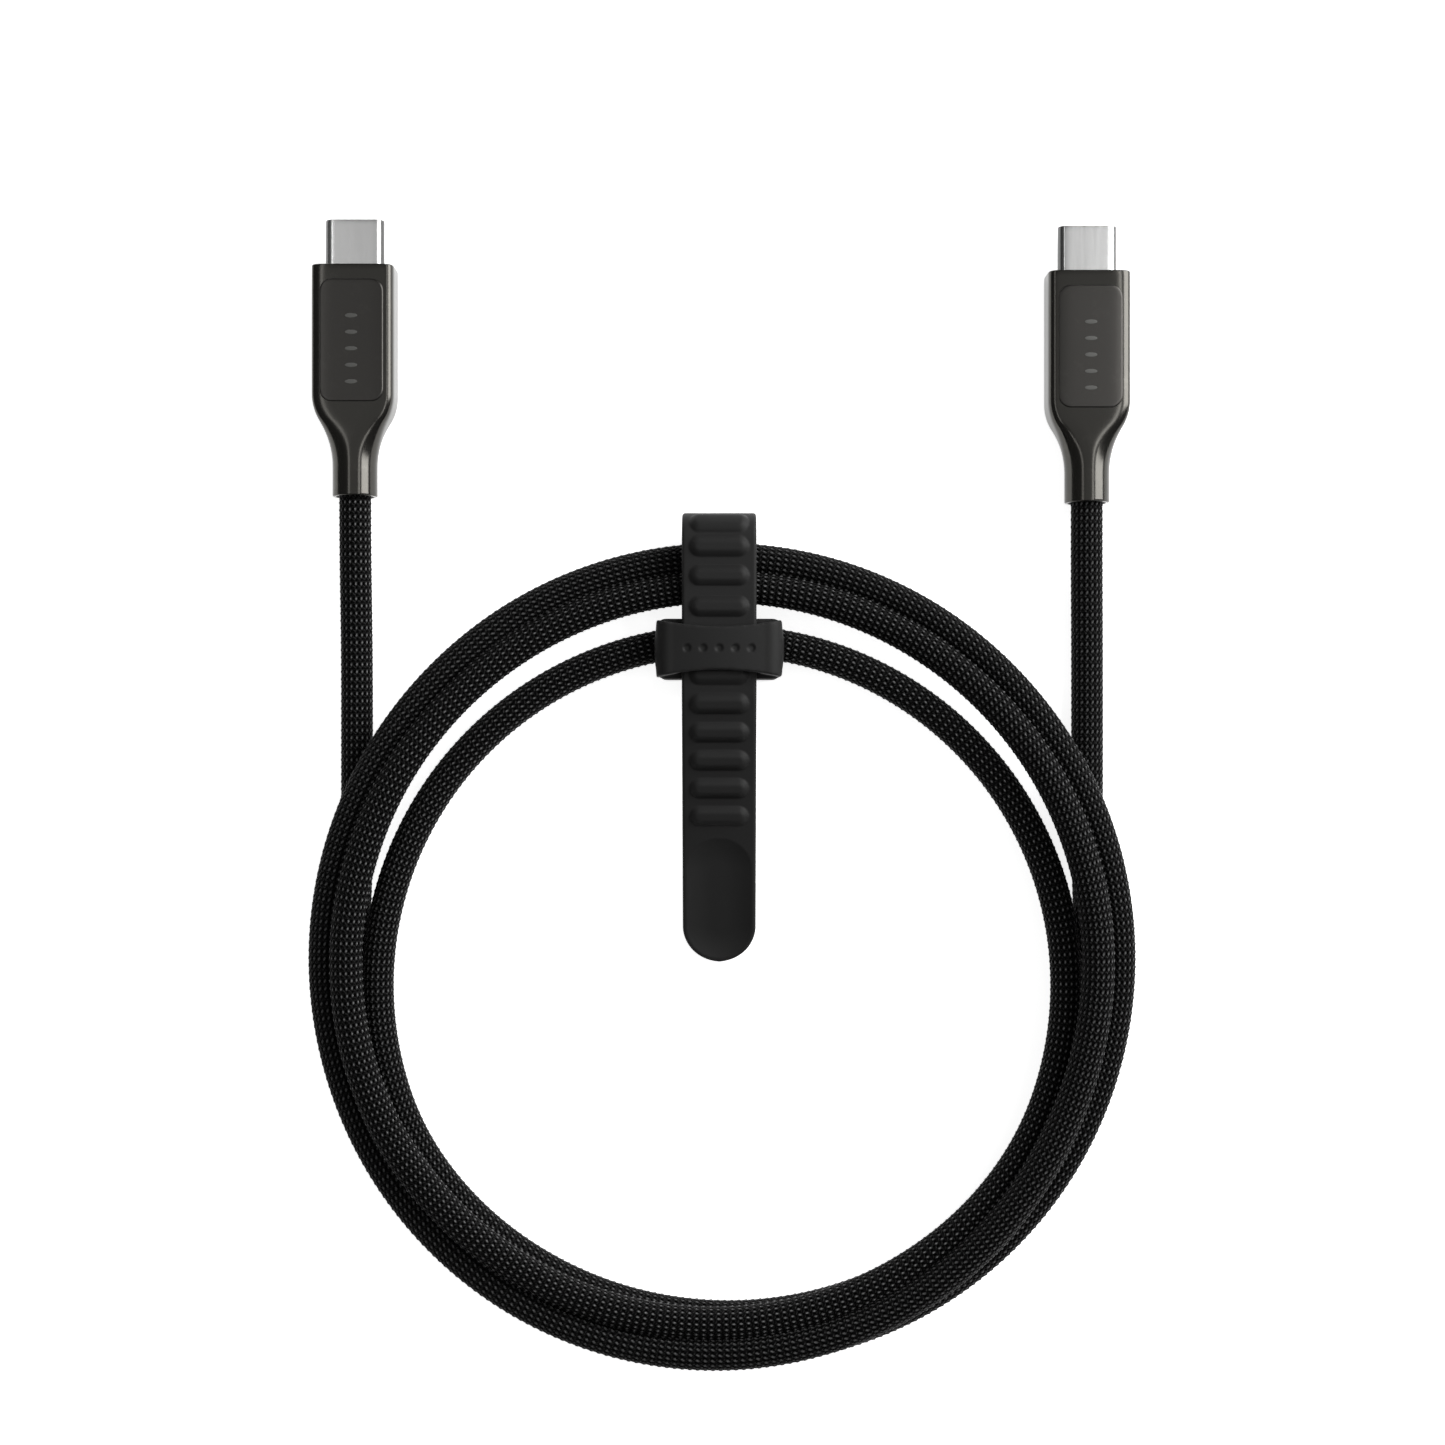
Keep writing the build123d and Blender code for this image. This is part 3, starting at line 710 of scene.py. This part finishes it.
MARKS_BACK = 1.2                          # from the plate's middle to the middle of the row
SHELL = (4.125, 1.20, 0.30, 9.2)          # half width, half height, wall, length
SHELL_STATIONS = (0.8, 2.5, 4.5, 6.4, 8.0)
SHELL_CROWN = 0.02                        # the drawn shell's faces are not quite flat


def half_width(distance):
    """Half the housing's width: straight, then a convex and a concave arc down to the neck."""
    along = distance - SHOULDER_AT
    convex = CONVEX_R * math.sin(NECK_TURN)
    if along <= 0:
        return HALF_W
    if along <= convex:
        return HALF_W - CONVEX_R + math.sqrt(CONVEX_R ** 2 - along ** 2)
    left = min(along - convex - CONCAVE_R * math.sin(NECK_TURN), 0.0)
    return NECK_HALF + CONCAVE_R - math.sqrt(CONCAVE_R ** 2 - left ** 2)


def section_power(distance, corner_power):
    """How square the housing's section is, down to 2 where it is round."""
    narrowed = (HALF_W - half_width(distance)) / (HALF_W - NECK_HALF)
    return 2 + (corner_power - 2) * (1 - narrowed) ** 1.6


def skin_height(x, distance, corner_power):
    """Height of the housing's skin over the plug's middle, at x from its middle line."""
    power = section_power(distance, corner_power)
    return HALF_T * (1 - min(abs(x) / half_width(distance), 1.0) ** power) ** (1 / power)


def on_plug(side, outline, distance):
    """A ring on one plug from an outline in x and z, at a distance behind the tip, in metres."""
    x, tip, z = plug_tip(side)
    return [((x + u) * MM, (tip - distance) * MM, (z + w) * MM) for u, w in outline]


class CABLE_OT_make_housings(bpy.types.Operator):
    """Makes the coated metal housing of each plug, from its front edge to the end of its neck"""
    bl_idname = "cable.make_housings"
    bl_label = "Housings"

    def execute(self, context):
        sizes = context.scene.plug_sizes
        finish = coated_metal("gunmetal_gloss", sizes.metal, 0.17, 1.25, 0.0004 * MM)
        for side in SIDES:
            rings = [on_plug(side, outline, d) for outline, d in self.sections(sizes)]
            points, faces = loft(rings, closed_along=True)
            piece = mesh_piece(f"plug_housing_{side}", points, faces, finish, "cable")
            face_outwards(piece)
            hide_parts(f"housing_{side}")
        return {"FINISHED"}

    def sections(self, sizes):
        """Outlines and distances all the way round: skin, end of the neck, bore, cavity and front."""
        edge = sizes.edge / MM
        sections = []
        for k in range(5):                                   # round the front edge
            a = math.radians(90 * k / 4)
            inset = edge * (1 - math.sin(a))
            sections.append((squarish(HALF_W - inset, HALF_T - inset, sizes.corner_power),
                             SHELL_OUT + edge * (1 - math.cos(a))))
        for d in np.concatenate([np.linspace(*stretch) for stretch in SKIN_STATIONS]):
            half_height = HALF_T - (HALF_T - NECK_HALF) * ease((d - SHOULDER_AT) / THINNING)
            sections.append((squarish(half_width(d), half_height, section_power(d, sizes.corner_power)), d))
        for k in range(5):                                   # round the neck's end
            a = math.radians(90 * k / 4)
            r = NECK_HALF - NECK_LIP * (1 - math.cos(a))
            sections.append((squarish(r, r, 2.0), NECK_END - NECK_LIP * (1 - math.sin(a))))
        for r, d in ((BUSH_SEAT_R + CHAMFER, NECK_END), (BUSH_SEAT_R, NECK_END - CHAMFER),
                     (BUSH_SEAT_R, BUSH_SEAT), (BORE_R, BUSH_SEAT), (BORE_R, CRIMP_SEAT_END),
                     (CRIMP_SEAT_R, CRIMP_SEAT_END), (CRIMP_SEAT_R, CAVITY_END + 0.001)):
            sections.append((squarish(r, r, 2.0), d))
        opening = rounded_box(*CAVITY)
        return sections + [(opening, CAVITY_END), (opening, SHELL_OUT + CHAMFER),
                           (opening * 1.004, SHELL_OUT)]


class CABLE_OT_make_face_plates(bpy.types.Operator):
    """Makes the satin plate on each housing, and the row of marks on it"""
    bl_idname = "cable.make_face_plates"
    bl_label = "Face plates"

    def execute(self, context):
        sizes = context.scene.plug_sizes
        satin = coated_metal("gunmetal_satin", sizes.plate, 0.30, 1.15, 0.001 * MM)
        ink = moulded("mark_grey", sizes.mark, 0.5)
        for side in SIDES:
            plate = self.plate(side, sizes, satin)
            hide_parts(f"face_plate_{side}")
            self.marks(side, sizes, ink)
        return {"FINISHED"}

    def plate(self, side, sizes, finish):
        """Rings from under the rim, over its rounding and in towards the middle."""
        width, length, middle = PLATE
        bevel, proud = sizes.bevel / MM, sizes.plate_proud / MM
        outline = rounded_box(width / 2, length / 2, PLATE_CORNER, corner_weight=2.0)
        profile = [(0.0, proud - PLATE_DEPTH)]
        for k in range(6):
            a = math.radians(90 * k / 5)
            profile.append((bevel * (1 - math.cos(a)), proud - bevel * (1 - math.sin(a))))
        profile += [(width / 2 * (1 - share), proud) for share in PLATE_RINGS]
        x, tip, z = plug_tip(side)
        rings = []
        for inset, height in profile:
            ring = []
            for u, v in outline:
                px = u * (1 - inset / (width / 2))
                py = v * (1 - inset / (length / 2 if inset <= bevel else width / 2))
                d = middle + py
                skin = skin_height(px, d, sizes.corner_power)
                ring.append(((x + px) * MM, (tip - d) * MM, (z + skin + height) * MM))
            rings.append(ring)
        centre = [sum(c) / len(rings[-1]) for c in zip(*rings[-1])]
        base = (centre[0], centre[1], centre[2] - 0.4 * MM)
        points, faces = loft(rings, first_pole=base, last_pole=tuple(centre))
        piece = mesh_piece(f"plug_plate_{side}", points, faces, finish, "cable")
        face_outwards(piece)
        return piece

    def marks(self, side, sizes, ink):
        x, tip, z = plug_tip(side)
        middle = (x, tip - PLATE[2] - MARKS_BACK, z + HALF_T + sizes.plate_proud / MM)
        grown(f"plug_marks_{side}", row_tree(), {
            "Count": sizes.pips, "Pitch": sizes.pip_pitch, "Middle": tuple(v * MM for v in middle),
            "Size": tuple(v * MM for v in MARK), "Material": ink,
        }, "cable")


def row_tree():
    """A row of low round-ended marks along y."""
    known = bpy.data.node_groups.get("row_of_marks")
    if known:
        return known
    tree, given, result = group("row_of_marks", "GeometryNodeTree", {
        "Count": ("Int", 5), "Pitch": ("Float", 0.002), "Middle": ("Vector", (0.0, 0.0, 0.0)),
        "Size": ("Vector", (0.001, 0.001, 0.0001)), "Material": ("Material", None)}, ("Geometry",))
    times, _, minus, *_ = arithmetic(tree)
    half = vector(tree, y=times(times(given["Pitch"], minus(given["Count"], 1.0)), 0.5))
    line = put(tree, "GeometryNodeMeshLine", {
        "Count": given["Count"], "Start Location": vector_calc(tree, "SUBTRACT", given["Middle"], half),
        "Offset": vector(tree, y=given["Pitch"])}, mode="OFFSET")
    ball = put(tree, "GeometryNodeMeshUVSphere", {"Segments": 24, "Rings": 10, "Radius": 0.5})
    marks = put(tree, "GeometryNodeInstanceOnPoints", {
        "Points": line.outputs[0], "Instance": ball.outputs["Mesh"], "Scale": given["Size"]})
    return give_dressed(tree, marks.outputs[0], given["Material"], result)


class CABLE_OT_make_shells(bpy.types.Operator):
    """Makes the steel shell that goes into the socket, a drawn tube with a rounded lip"""
    bl_idname = "cable.make_shells"
    bl_label = "Connector shells"

    def execute(self, context):
        # the shell's sides are painted dark by the side mask: a painted reflection of dark surroundings,
        # while its flat faces keep the steel's colour
        steel = plated("drawn_steel", context.scene.plug_sizes.steel, 0.23, 0.17, 1.04, "Side")
        half_x, half_z, wall, length = SHELL
        lip = wall / 2
        stops = []
        for k in range(9):                                   # round the lip, from inside to outside
            a = math.radians(180 * k / 8)
            stops.append((lip + lip * math.cos(a), lip * (1 - math.sin(a))))
        outer = [(0.0, d) for d in (*SHELL_STATIONS, length)]
        inner = [(wall, length), (wall, SHELL_STATIONS[0])]
        for side in SIDES:
            rings = []
            for inset, d in stops + outer + inner:
                x, z = half_x - inset, half_z - inset
                outline = rounded_box(x, z, z - SHELL_CROWN, 72, 1.2, SHELL_CROWN)
                rings.append(on_plug(side, outline, d))
            points, faces = loft(rings, closed_along=True)
            piece = mesh_piece(f"plug_shell_{side}", points, faces, steel, "cable")
            face_outwards(piece)
            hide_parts(f"connector_shell_{side}")
        return {"FINISHED"}


class CABLE_OT_dress_insides(bpy.types.Operator):
    """Gives every part inside the plugs its own finish"""
    bl_idname = "cable.dress_insides"
    bl_label = "Insides of the plugs"

    # material slot: the finish, its name, colour and roughness, and what else that finish takes
    FINISHES = {
        "housing_metal": (coated_metal, "housing_inside", (0.06, 0.058, 0.053), 0.3, 1.2, 0.001 * MM),
        "face_plate": (coated_metal, "plate_inside", (0.05, 0.048, 0.045), 0.35, 1.2, 0.001 * MM),
        "front_cap": (moulded, "cap_plastic", (0.02, 0.02, 0.02), 0.5),
        "steel": (plated, "spring_steel", (0.6, 0.6, 0.59), 0.3),
        "insulator": (moulded, "insulator_plastic", (0.03, 0.03, 0.032), 0.45),
        "contact": (plated, "gold_plate", (0.85, 0.6, 0.25), 0.22),
        "board": (moulded, "solder_mask", (0.02, 0.09, 0.05), 0.35),
        "chip": (moulded, "chip_plastic", (0.03, 0.03, 0.03), 0.6),
        "shield": (plated, "stamped_shield", (0.6, 0.6, 0.6), 0.35),
        "mould": (moulded, "inner_mould_plastic", (0.7, 0.69, 0.65), 0.5),
        "power_wire": (moulded, "power_insulation", (0.45, 0.03, 0.03), 0.5),
        "signal_wire": (moulded, "signal_insulation", (0.5, 0.5, 0.5), 0.5),
        "ground_wire": (moulded, "ground_insulation", (0.02, 0.02, 0.02), 0.5),
        "crimp": (plated, "crimp_brass", (0.7, 0.6, 0.35), 0.35),
        "bush": (moulded, "bush_rubber", (0.012, 0.012, 0.012), 0.7, 0.2),
        "braid": (moulded, "braid_stand_in", (0.012, 0.012, 0.012), 0.7),
        "silicone": (moulded, "silicone_stand_in", (0.02, 0.02, 0.02), 0.7),
    }

    def execute(self, context):
        finishes = {slot: make(*values) for slot, (make, *values) in self.FINISHES.items()}
        for part in frame["record"]["subparts"]:
            node = frame["nodes"][part["node"]]
            node.data.materials.clear()
            node.data.materials.append(finishes[part["material_slot"]])
        return {"FINISHED"}


# ---------------------------------------------------------------- tie

TIE_X = -0.25                             # millimetres
STRAP_TOP = 10.0
WRAP_Y, WRAP_R = 10.8, 4.0
FOOT_Y = -5.2
HINGE_Y = -14.2
TAIL_SLOPE = 12.4
TAIL_LENGTH = 38.85
BEND_LENGTH = 2.4
BAND_RIBS = (9.0, 5.85, 1.85, -2.4, -7.1, -11.8)     # measured along the strap, as if it were flat
TAIL_RIBS = (1.5, 5.5, 9.5, 13.5, 17.5)
RIB_LENGTH, RIB_WIDTH = 8.0, 2.6
RIB_EDGE = 0.1                            # how far a rib's soft edge goes past its width
THUMB_LENGTH, THUMB_INSET, THUMB_DEPTH = 17.6, 0.55, 0.55
THUMB_FADE = 3.6                          # from the thumb recess's edge to its full depth
THUMB_R = 5.15 - THUMB_INSET


def strap_line(thickness):
    """Stretches of the strap's middle line as (length, turn in degrees), from the foot to the tip."""
    radius = WRAP_R - thickness / 2
    rise = STRAP_TOP - 2 * WRAP_R
    flat = WRAP_Y - WRAP_R
    arc = radius * math.pi / 2
    return [(flat - FOOT_Y, 0.0), (arc, 90.0), (rise, 0.0), (arc, 90.0),
            (flat - HINGE_Y - BEND_LENGTH / 2, 0.0), (BEND_LENGTH, TAIL_SLOPE),
            (TAIL_LENGTH - BEND_LENGTH / 2, 0.0)]


class CABLE_OT_make_strap(bpy.types.Operator):
    """Makes the strap: under and round the outer strands, back through the keeper and down to its tip"""
    bl_idname = "cable.make_strap"
    bl_label = "Tie strap"

    ROW = 0.13
    COLUMNS = 54

    def execute(self, context):
        tie = context.scene.tie_sizes
        silicone = silicone_finish(tie)
        half, thick, edge = tie.width / MM / 2, tie.thickness / MM, tie.edge / MM
        line = strap_line(thick)
        length = sum(run for run, _ in line)
        rows = np.concatenate([np.arange(0.0, length - half, self.ROW),
                               length - half + half * np.sin(np.radians(np.linspace(0.5, 86, 60)))])
        places = self.walk(line, rows, thick / 2)
        hinge_at = length - TAIL_LENGTH
        rings = []
        for s, (y, z, heading) in zip(rows, places):
            past = s - (length - half)
            reach = half if past <= 0 else math.sqrt(max(half ** 2 - past ** 2, 0.0))
            rings.append(self.ring(s, hinge_at, length, reach, thick, min(edge, 0.8 * reach), y, z, heading,
                                   tie.rib_height / MM))
        first = tuple(np.mean(rings[0], axis=0))
        last = tuple(np.mean(rings[-1], axis=0))
        points, faces = loft(rings, first_pole=first, last_pole=last)
        strap = mesh_piece("tie_strap", points, faces, silicone, None)
        face_outwards(strap)
        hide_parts("tie_band", "tie_tail")
        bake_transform(strap)
        return {"FINISHED"}

    def walk(self, line, rows, start_z):
        """(y, z, heading) of the middle line at each row, by small steps along it."""
        step = 0.01
        total = sum(run for run, _ in line)
        ends = np.cumsum([run for run, _ in line])
        s = np.arange(0.0, total + step, step)
        rates = np.zeros_like(s)
        for (run, turn), end in zip(line, ends):
            rates[(s >= end - run) & (s < end)] = math.radians(turn) / run
        heading = np.concatenate([[0.0], np.cumsum(rates * step)])[:-1]
        y = FOOT_Y + np.concatenate([[0.0], np.cumsum(np.cos(heading) * step)])[:-1]
        z = start_z + np.concatenate([[0.0], np.cumsum(np.sin(heading) * step)])[:-1]
        return [(np.interp(r, s, y), np.interp(r, s, z), np.interp(r, s, heading)) for r in rows]

    def ring(self, s, hinge_at, length, reach, thick, edge, y, z, heading, rib_height):
        """One cross-section: the outer face with its relief, round edges and the inner face."""
        outline = []
        for k in range(self.COLUMNS + 1):
            x = (reach - edge) * (2 * k / self.COLUMNS - 1)
            outline.append((x, thick / 2 + self.relief(x, s, hinge_at, length, rib_height)))
        corner = [(math.cos(a), math.sin(a)) for a in np.radians(np.linspace(90, -90, 9))]
        for c, w in corner[1:-1]:
            outline.append((reach - edge + edge * c, math.copysign(thick / 2 - edge, w) + edge * w))
        for k in range(13):
            outline.append(((reach - edge) * (1 - k / 6), -thick / 2))
        for c, w in corner[-2:0:-1]:
            outline.append((-(reach - edge + edge * c), math.copysign(thick / 2 - edge, w) + edge * w))
        out_y, out_z = math.sin(heading), -math.cos(heading)
        return [((TIE_X + x) * MM, (y + h * out_y) * MM, (z + h * out_z) * MM) for x, h in outline]

    def relief(self, x, s, hinge_at, length, rib_height):
        """Height of ribs and depth of the thumb recess at one place on the outer face."""
        top_start = hinge_at - (WRAP_Y - WRAP_R - HINGE_Y)
        middles = [top_start + (WRAP_Y - WRAP_R) - y for y in BAND_RIBS] + [hinge_at + r for r in TAIL_RIBS]
        height = 0.0
        for middle in middles:
            if abs(s - middle) < RIB_WIDTH:
                side = math.hypot(max(abs(x) - (RIB_LENGTH - RIB_WIDTH) / 2, 0.0), s - middle)
                inside = RIB_WIDTH / 2 + RIB_EDGE - side
                if inside > 0:
                    round_top = math.sqrt(1 - (1 - min(inside, 1.0)) ** 2)
                    height = rib_height * (0.55 * round_top + 0.45 * ease(inside))
        low = length - THUMB_INSET - THUMB_LENGTH + THUMB_R
        high = length - THUMB_INSET - THUMB_R
        off = max(low - s, s - high, 0.0)
        inside = THUMB_R - math.hypot(x, off)
        if inside > 0:
            height -= THUMB_DEPTH * (1 - (1 - min(inside / THUMB_FADE, 1.0)) ** 2)
        return height


def silicone_finish(tie):
    """Matte black silicone, shared by the strap and the keeper."""
    known = bpy.data.materials.get("black_silicone")
    if known:
        return known
    finish = Finish("black_silicone", "grain", {"Fine Scale": 4200.0, "Slow Scale": 90.0},
                    **{"Specular IOR Level": 0.2})
    finish.mix_colour(finish.mask("Tone"), shade(tie.colour, 0.9), shade(tie.colour, 1.12))
    finish.vary("Roughness", finish.mask("Wear"), 0.60, 0.50)
    finish.bump(finish.mask("Height"), 0.012 * MM, 0.35)
    return finish.material


class CABLE_OT_make_keeper(bpy.types.Operator):
    """Makes the keeper with soft edges: the head of the tie, with its tunnel, slot and arch"""
    bl_idname = "cable.make_keeper"
    bl_label = "Tie keeper"

    SOFTENING = 14                        # rounds of smoothing
    DIMPLES = 5
    DIMPLE_PITCH = 2.2 * MM
    DIMPLE_RADIUS = 0.62 * MM
    DIMPLE_DEPTH = 0.24 * MM
    DIMPLE_SLOPE = 2.2                    # steepness of a dimple's side
    TOP_LAYER = 0.75 * MM                 # only this much under the top takes the dimples
    END_BULGE = 0.22 * MM
    END_SHARE = 0.4                       # share of each half that bulges

    def execute(self, context):
        tie = context.scene.tie_sizes
        source = frame["nodes"]["tie_keeper"]
        mesh = source.data.copy()
        shape = bmesh.new()
        shape.from_mesh(mesh)
        bmesh.ops.remove_doubles(shape, verts=shape.verts, dist=0.002 * MM)
        shape.to_mesh(mesh)
        shape.free()
        piece = bpy.data.objects.new("tie_head", mesh)
        context.collection.objects.link(piece)
        remesh = piece.modifiers.new("even", "REMESH")
        remesh.mode = "VOXEL"
        remesh.voxel_size = tie.voxel
        soften = piece.modifiers.new("soften", "SMOOTH")
        soften.factor = 0.5
        soften.iterations = self.SOFTENING
        baked = bpy.data.meshes.new_from_object(piece.evaluated_get(context.evaluated_depsgraph_get()))
        piece.modifiers.clear()
        piece.data = baked
        self.shape(baked)
        baked.materials.clear()
        baked.materials.append(silicone_finish(tie))
        baked.polygons.foreach_set("use_smooth", [True] * len(baked.polygons))
        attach(piece, "tie")
        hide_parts("tie_keeper")
        return {"FINISHED"}

    def shape(self, mesh):
        """Bulges the two ends, and presses a row of shallow round dimples along the top of the arch."""
        low, high = (np.array(c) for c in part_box("tie_keeper"))
        middle, half = (low + high) / 2, (high - low) / 2
        points = np.empty(len(mesh.vertices) * 3)
        mesh.vertices.foreach_get("co", points)
        points = points.reshape(-1, 3)
        off = (points - middle) / half
        near_end = np.clip((np.abs(off[:, 0]) - 1 + self.END_SHARE) / self.END_SHARE, 0.0, 1.0)
        swell = np.clip(1 - off[:, 1] ** 2, 0.0, 1.0) * near_end ** 2
        points[:, 0] += np.sign(off[:, 0]) * swell * self.END_BULGE
        top = points[:, 2] > high[2] - self.TOP_LAYER
        for k in range(self.DIMPLES):
            x = middle[0] + (k - (self.DIMPLES - 1) / 2) * self.DIMPLE_PITCH
            away = np.hypot(points[:, 0] - x, points[:, 1] - middle[1]) / self.DIMPLE_RADIUS
            dip = np.minimum(np.clip(1 - away, 0, 1) * self.DIMPLE_SLOPE, 1.0)
            points[:, 2] -= np.where(top, self.DIMPLE_DEPTH * dip * dip * (3 - 2 * dip), 0.0)
        mesh.vertices.foreach_set("co", points.ravel())
        mesh.update()


# ---------------------------------------------------------------- stage

class CABLE_OT_place_camera(bpy.types.Operator):
    """Puts the camera straight above the cable"""
    bl_idname = "cable.place_camera"
    bl_label = "Camera"

    LENS = 50.0                           # millimetres, on a sensor 36 wide
    SENSOR = 36.0
    NEAREST = 0.005                       # metres

    def execute(self, context):
        stage = context.scene.stage_settings
        lens = bpy.data.cameras.new("camera")
        lens.lens = self.LENS
        lens.sensor_width = self.SENSOR
        lens.clip_start = self.NEAREST
        camera = bpy.data.objects.new("camera", lens)
        camera.location = (stage.eye_x, stage.eye_y, stage.eye_height)
        context.collection.objects.link(camera)
        context.scene.camera = camera
        return {"FINISHED"}


class CABLE_OT_set_stage(bpy.types.Operator):
    """Lays a plain pale floor and sets soft studio lights round it"""
    bl_idname = "cable.set_stage"
    bl_label = "Stage"

    # name, place, size across and along, power in watts, tilt about y in degrees
    LIGHTS = (
        ("strip_left", (-0.29, 0.22, 0.6), (0.07, 0.9), 0.45, -22.0),
        ("strip_right", (0.29, 0.22, 0.6), (0.07, 0.9), 0.9, 22.0),
        ("key", (0.46, 0.32, 0.28), (0.40, 0.56), 5.6, 56.0),
    )
    # how the even light's strength follows the height that it comes from
    CEILING = {"From Min": 0.86, "From Max": 0.97, "To Min": 0.11, "To Max": 0.50}
    FLOOR_RINGS = (0.2, 0.6, 1.5, 4.0)    # metres
    FLOOR_MIDDLE = (-0.02, -0.05 * MM)    # y and z

    def execute(self, context):
        stage = context.scene.stage_settings
        for name, place, extent, power, tilt in self.LIGHTS:
            light = bpy.data.lights.new(name, "AREA")
            light.shape = "RECTANGLE"
            light.size, light.size_y = extent
            light.energy = power
            lamp = bpy.data.objects.new(name, light)
            lamp.location = place
            lamp.rotation_euler = (0.0, math.radians(tilt), 0.0)
            context.collection.objects.link(lamp)
        self.world(context, stage.sky)
        self.floor(stage)
        context.scene.view_settings.view_transform = "Standard"
        return {"FINISHED"}

    def world(self, context, strength):
        """Even light, brighter straight above, as from a large ceiling panel."""
        world = bpy.data.worlds.new("studio")
        context.scene.world = world
        world.use_nodes = True
        tree = world.node_tree
        tree.nodes.clear()
        height = xyz(tree, put(tree, "ShaderNodeTexCoord").outputs["Generated"])[2]
        ramp = put(tree, "ShaderNodeMapRange", {"Value": height, **self.CEILING})
        back = put(tree, "ShaderNodeBackground", {
            "Color": (1.0, 1.0, 1.0, 1.0), "Strength": calc(tree, "MULTIPLY", ramp.outputs[0], strength)})
        put(tree, "ShaderNodeOutputWorld", {"Surface": back.outputs[0]})

    def floor(self, stage):
        paper = Finish("pale_floor", "grain", {"Fine Scale": 900.0, "Slow Scale": 3.0},
                       **{"Specular IOR Level": 0.1, "Emission Color": (1.0, 1.0, 1.0, 1.0),
                          "Emission Strength": stage.glow})
        paper.mix_colour(paper.mask("Tone"), shade(stage.floor, 0.99), shade(stage.floor, 1.01))
        paper.vary("Roughness", paper.mask("Tone"), 0.85, 0.95)
        paper.bump(paper.mask("Height"), 0.01 * MM, 0.1)
        y, z = self.FLOOR_MIDDLE
        around = np.linspace(0, math.tau, 64, endpoint=False)
        rings = [[(r * math.cos(a), y + r * math.sin(a), z) for a in around] for r in self.FLOOR_RINGS]
        points, faces = loft(rings, first_pole=(0.0, y, z))
        floor = mesh_piece("floor", points, faces, paper.material, None)
        face_up(floor)
        return floor


def face_up(piece):
    for polygon in piece.data.polygons:
        if polygon.normal.z < 0:
            polygon.flip()


# ---------------------------------------------------------------- add-on

class CABLE_PT_pieces(bpy.types.Panel):
    """Buttons that make each piece of the cable"""
    bl_idname = "CABLE_PT_pieces"
    bl_label = "Charging cable"
    bl_space_type = "VIEW_3D"
    bl_region_type = "UI"
    bl_category = "Charging cable"

    def draw(self, context):
        for operator in PIECES:
            self.layout.operator(operator.bl_idname)


SETTINGS = {
    "cable_sizes": CableSizes,
    "plug_sizes": PlugSizes,
    "tie_sizes": TieSizes,
    "stage_settings": StageSettings,
}
PIECES = (CABLE_OT_place_camera, CABLE_OT_lay_cable, CABLE_OT_dress_insides, CABLE_OT_make_housings,
          CABLE_OT_make_face_plates, CABLE_OT_make_shells, CABLE_OT_make_keeper, CABLE_OT_make_strap,
          CABLE_OT_set_stage)


def register():
    for cls in (*SETTINGS.values(), *PIECES, CABLE_PT_pieces):
        bpy.utils.register_class(cls)
    for name, cls in SETTINGS.items():
        setattr(bpy.types.Scene, name, bpy.props.PointerProperty(type=cls))


def unregister():
    for name in SETTINGS:
        delattr(bpy.types.Scene, name)
    for cls in reversed((*SETTINGS.values(), *PIECES, CABLE_PT_pieces)):
        bpy.utils.unregister_class(cls)


def main():
    register()
    bpy.ops.cable.place_camera()
    bpy.ops.cable.lay_cable()
    bpy.ops.cable.dress_insides()
    bpy.ops.cable.make_housings()
    bpy.ops.cable.make_face_plates()
    bpy.ops.cable.make_shells()
    bpy.ops.cable.make_keeper()
    bpy.ops.cable.make_strap()
    bpy.ops.cable.set_stage()


if __name__ == "__main__":
    main()
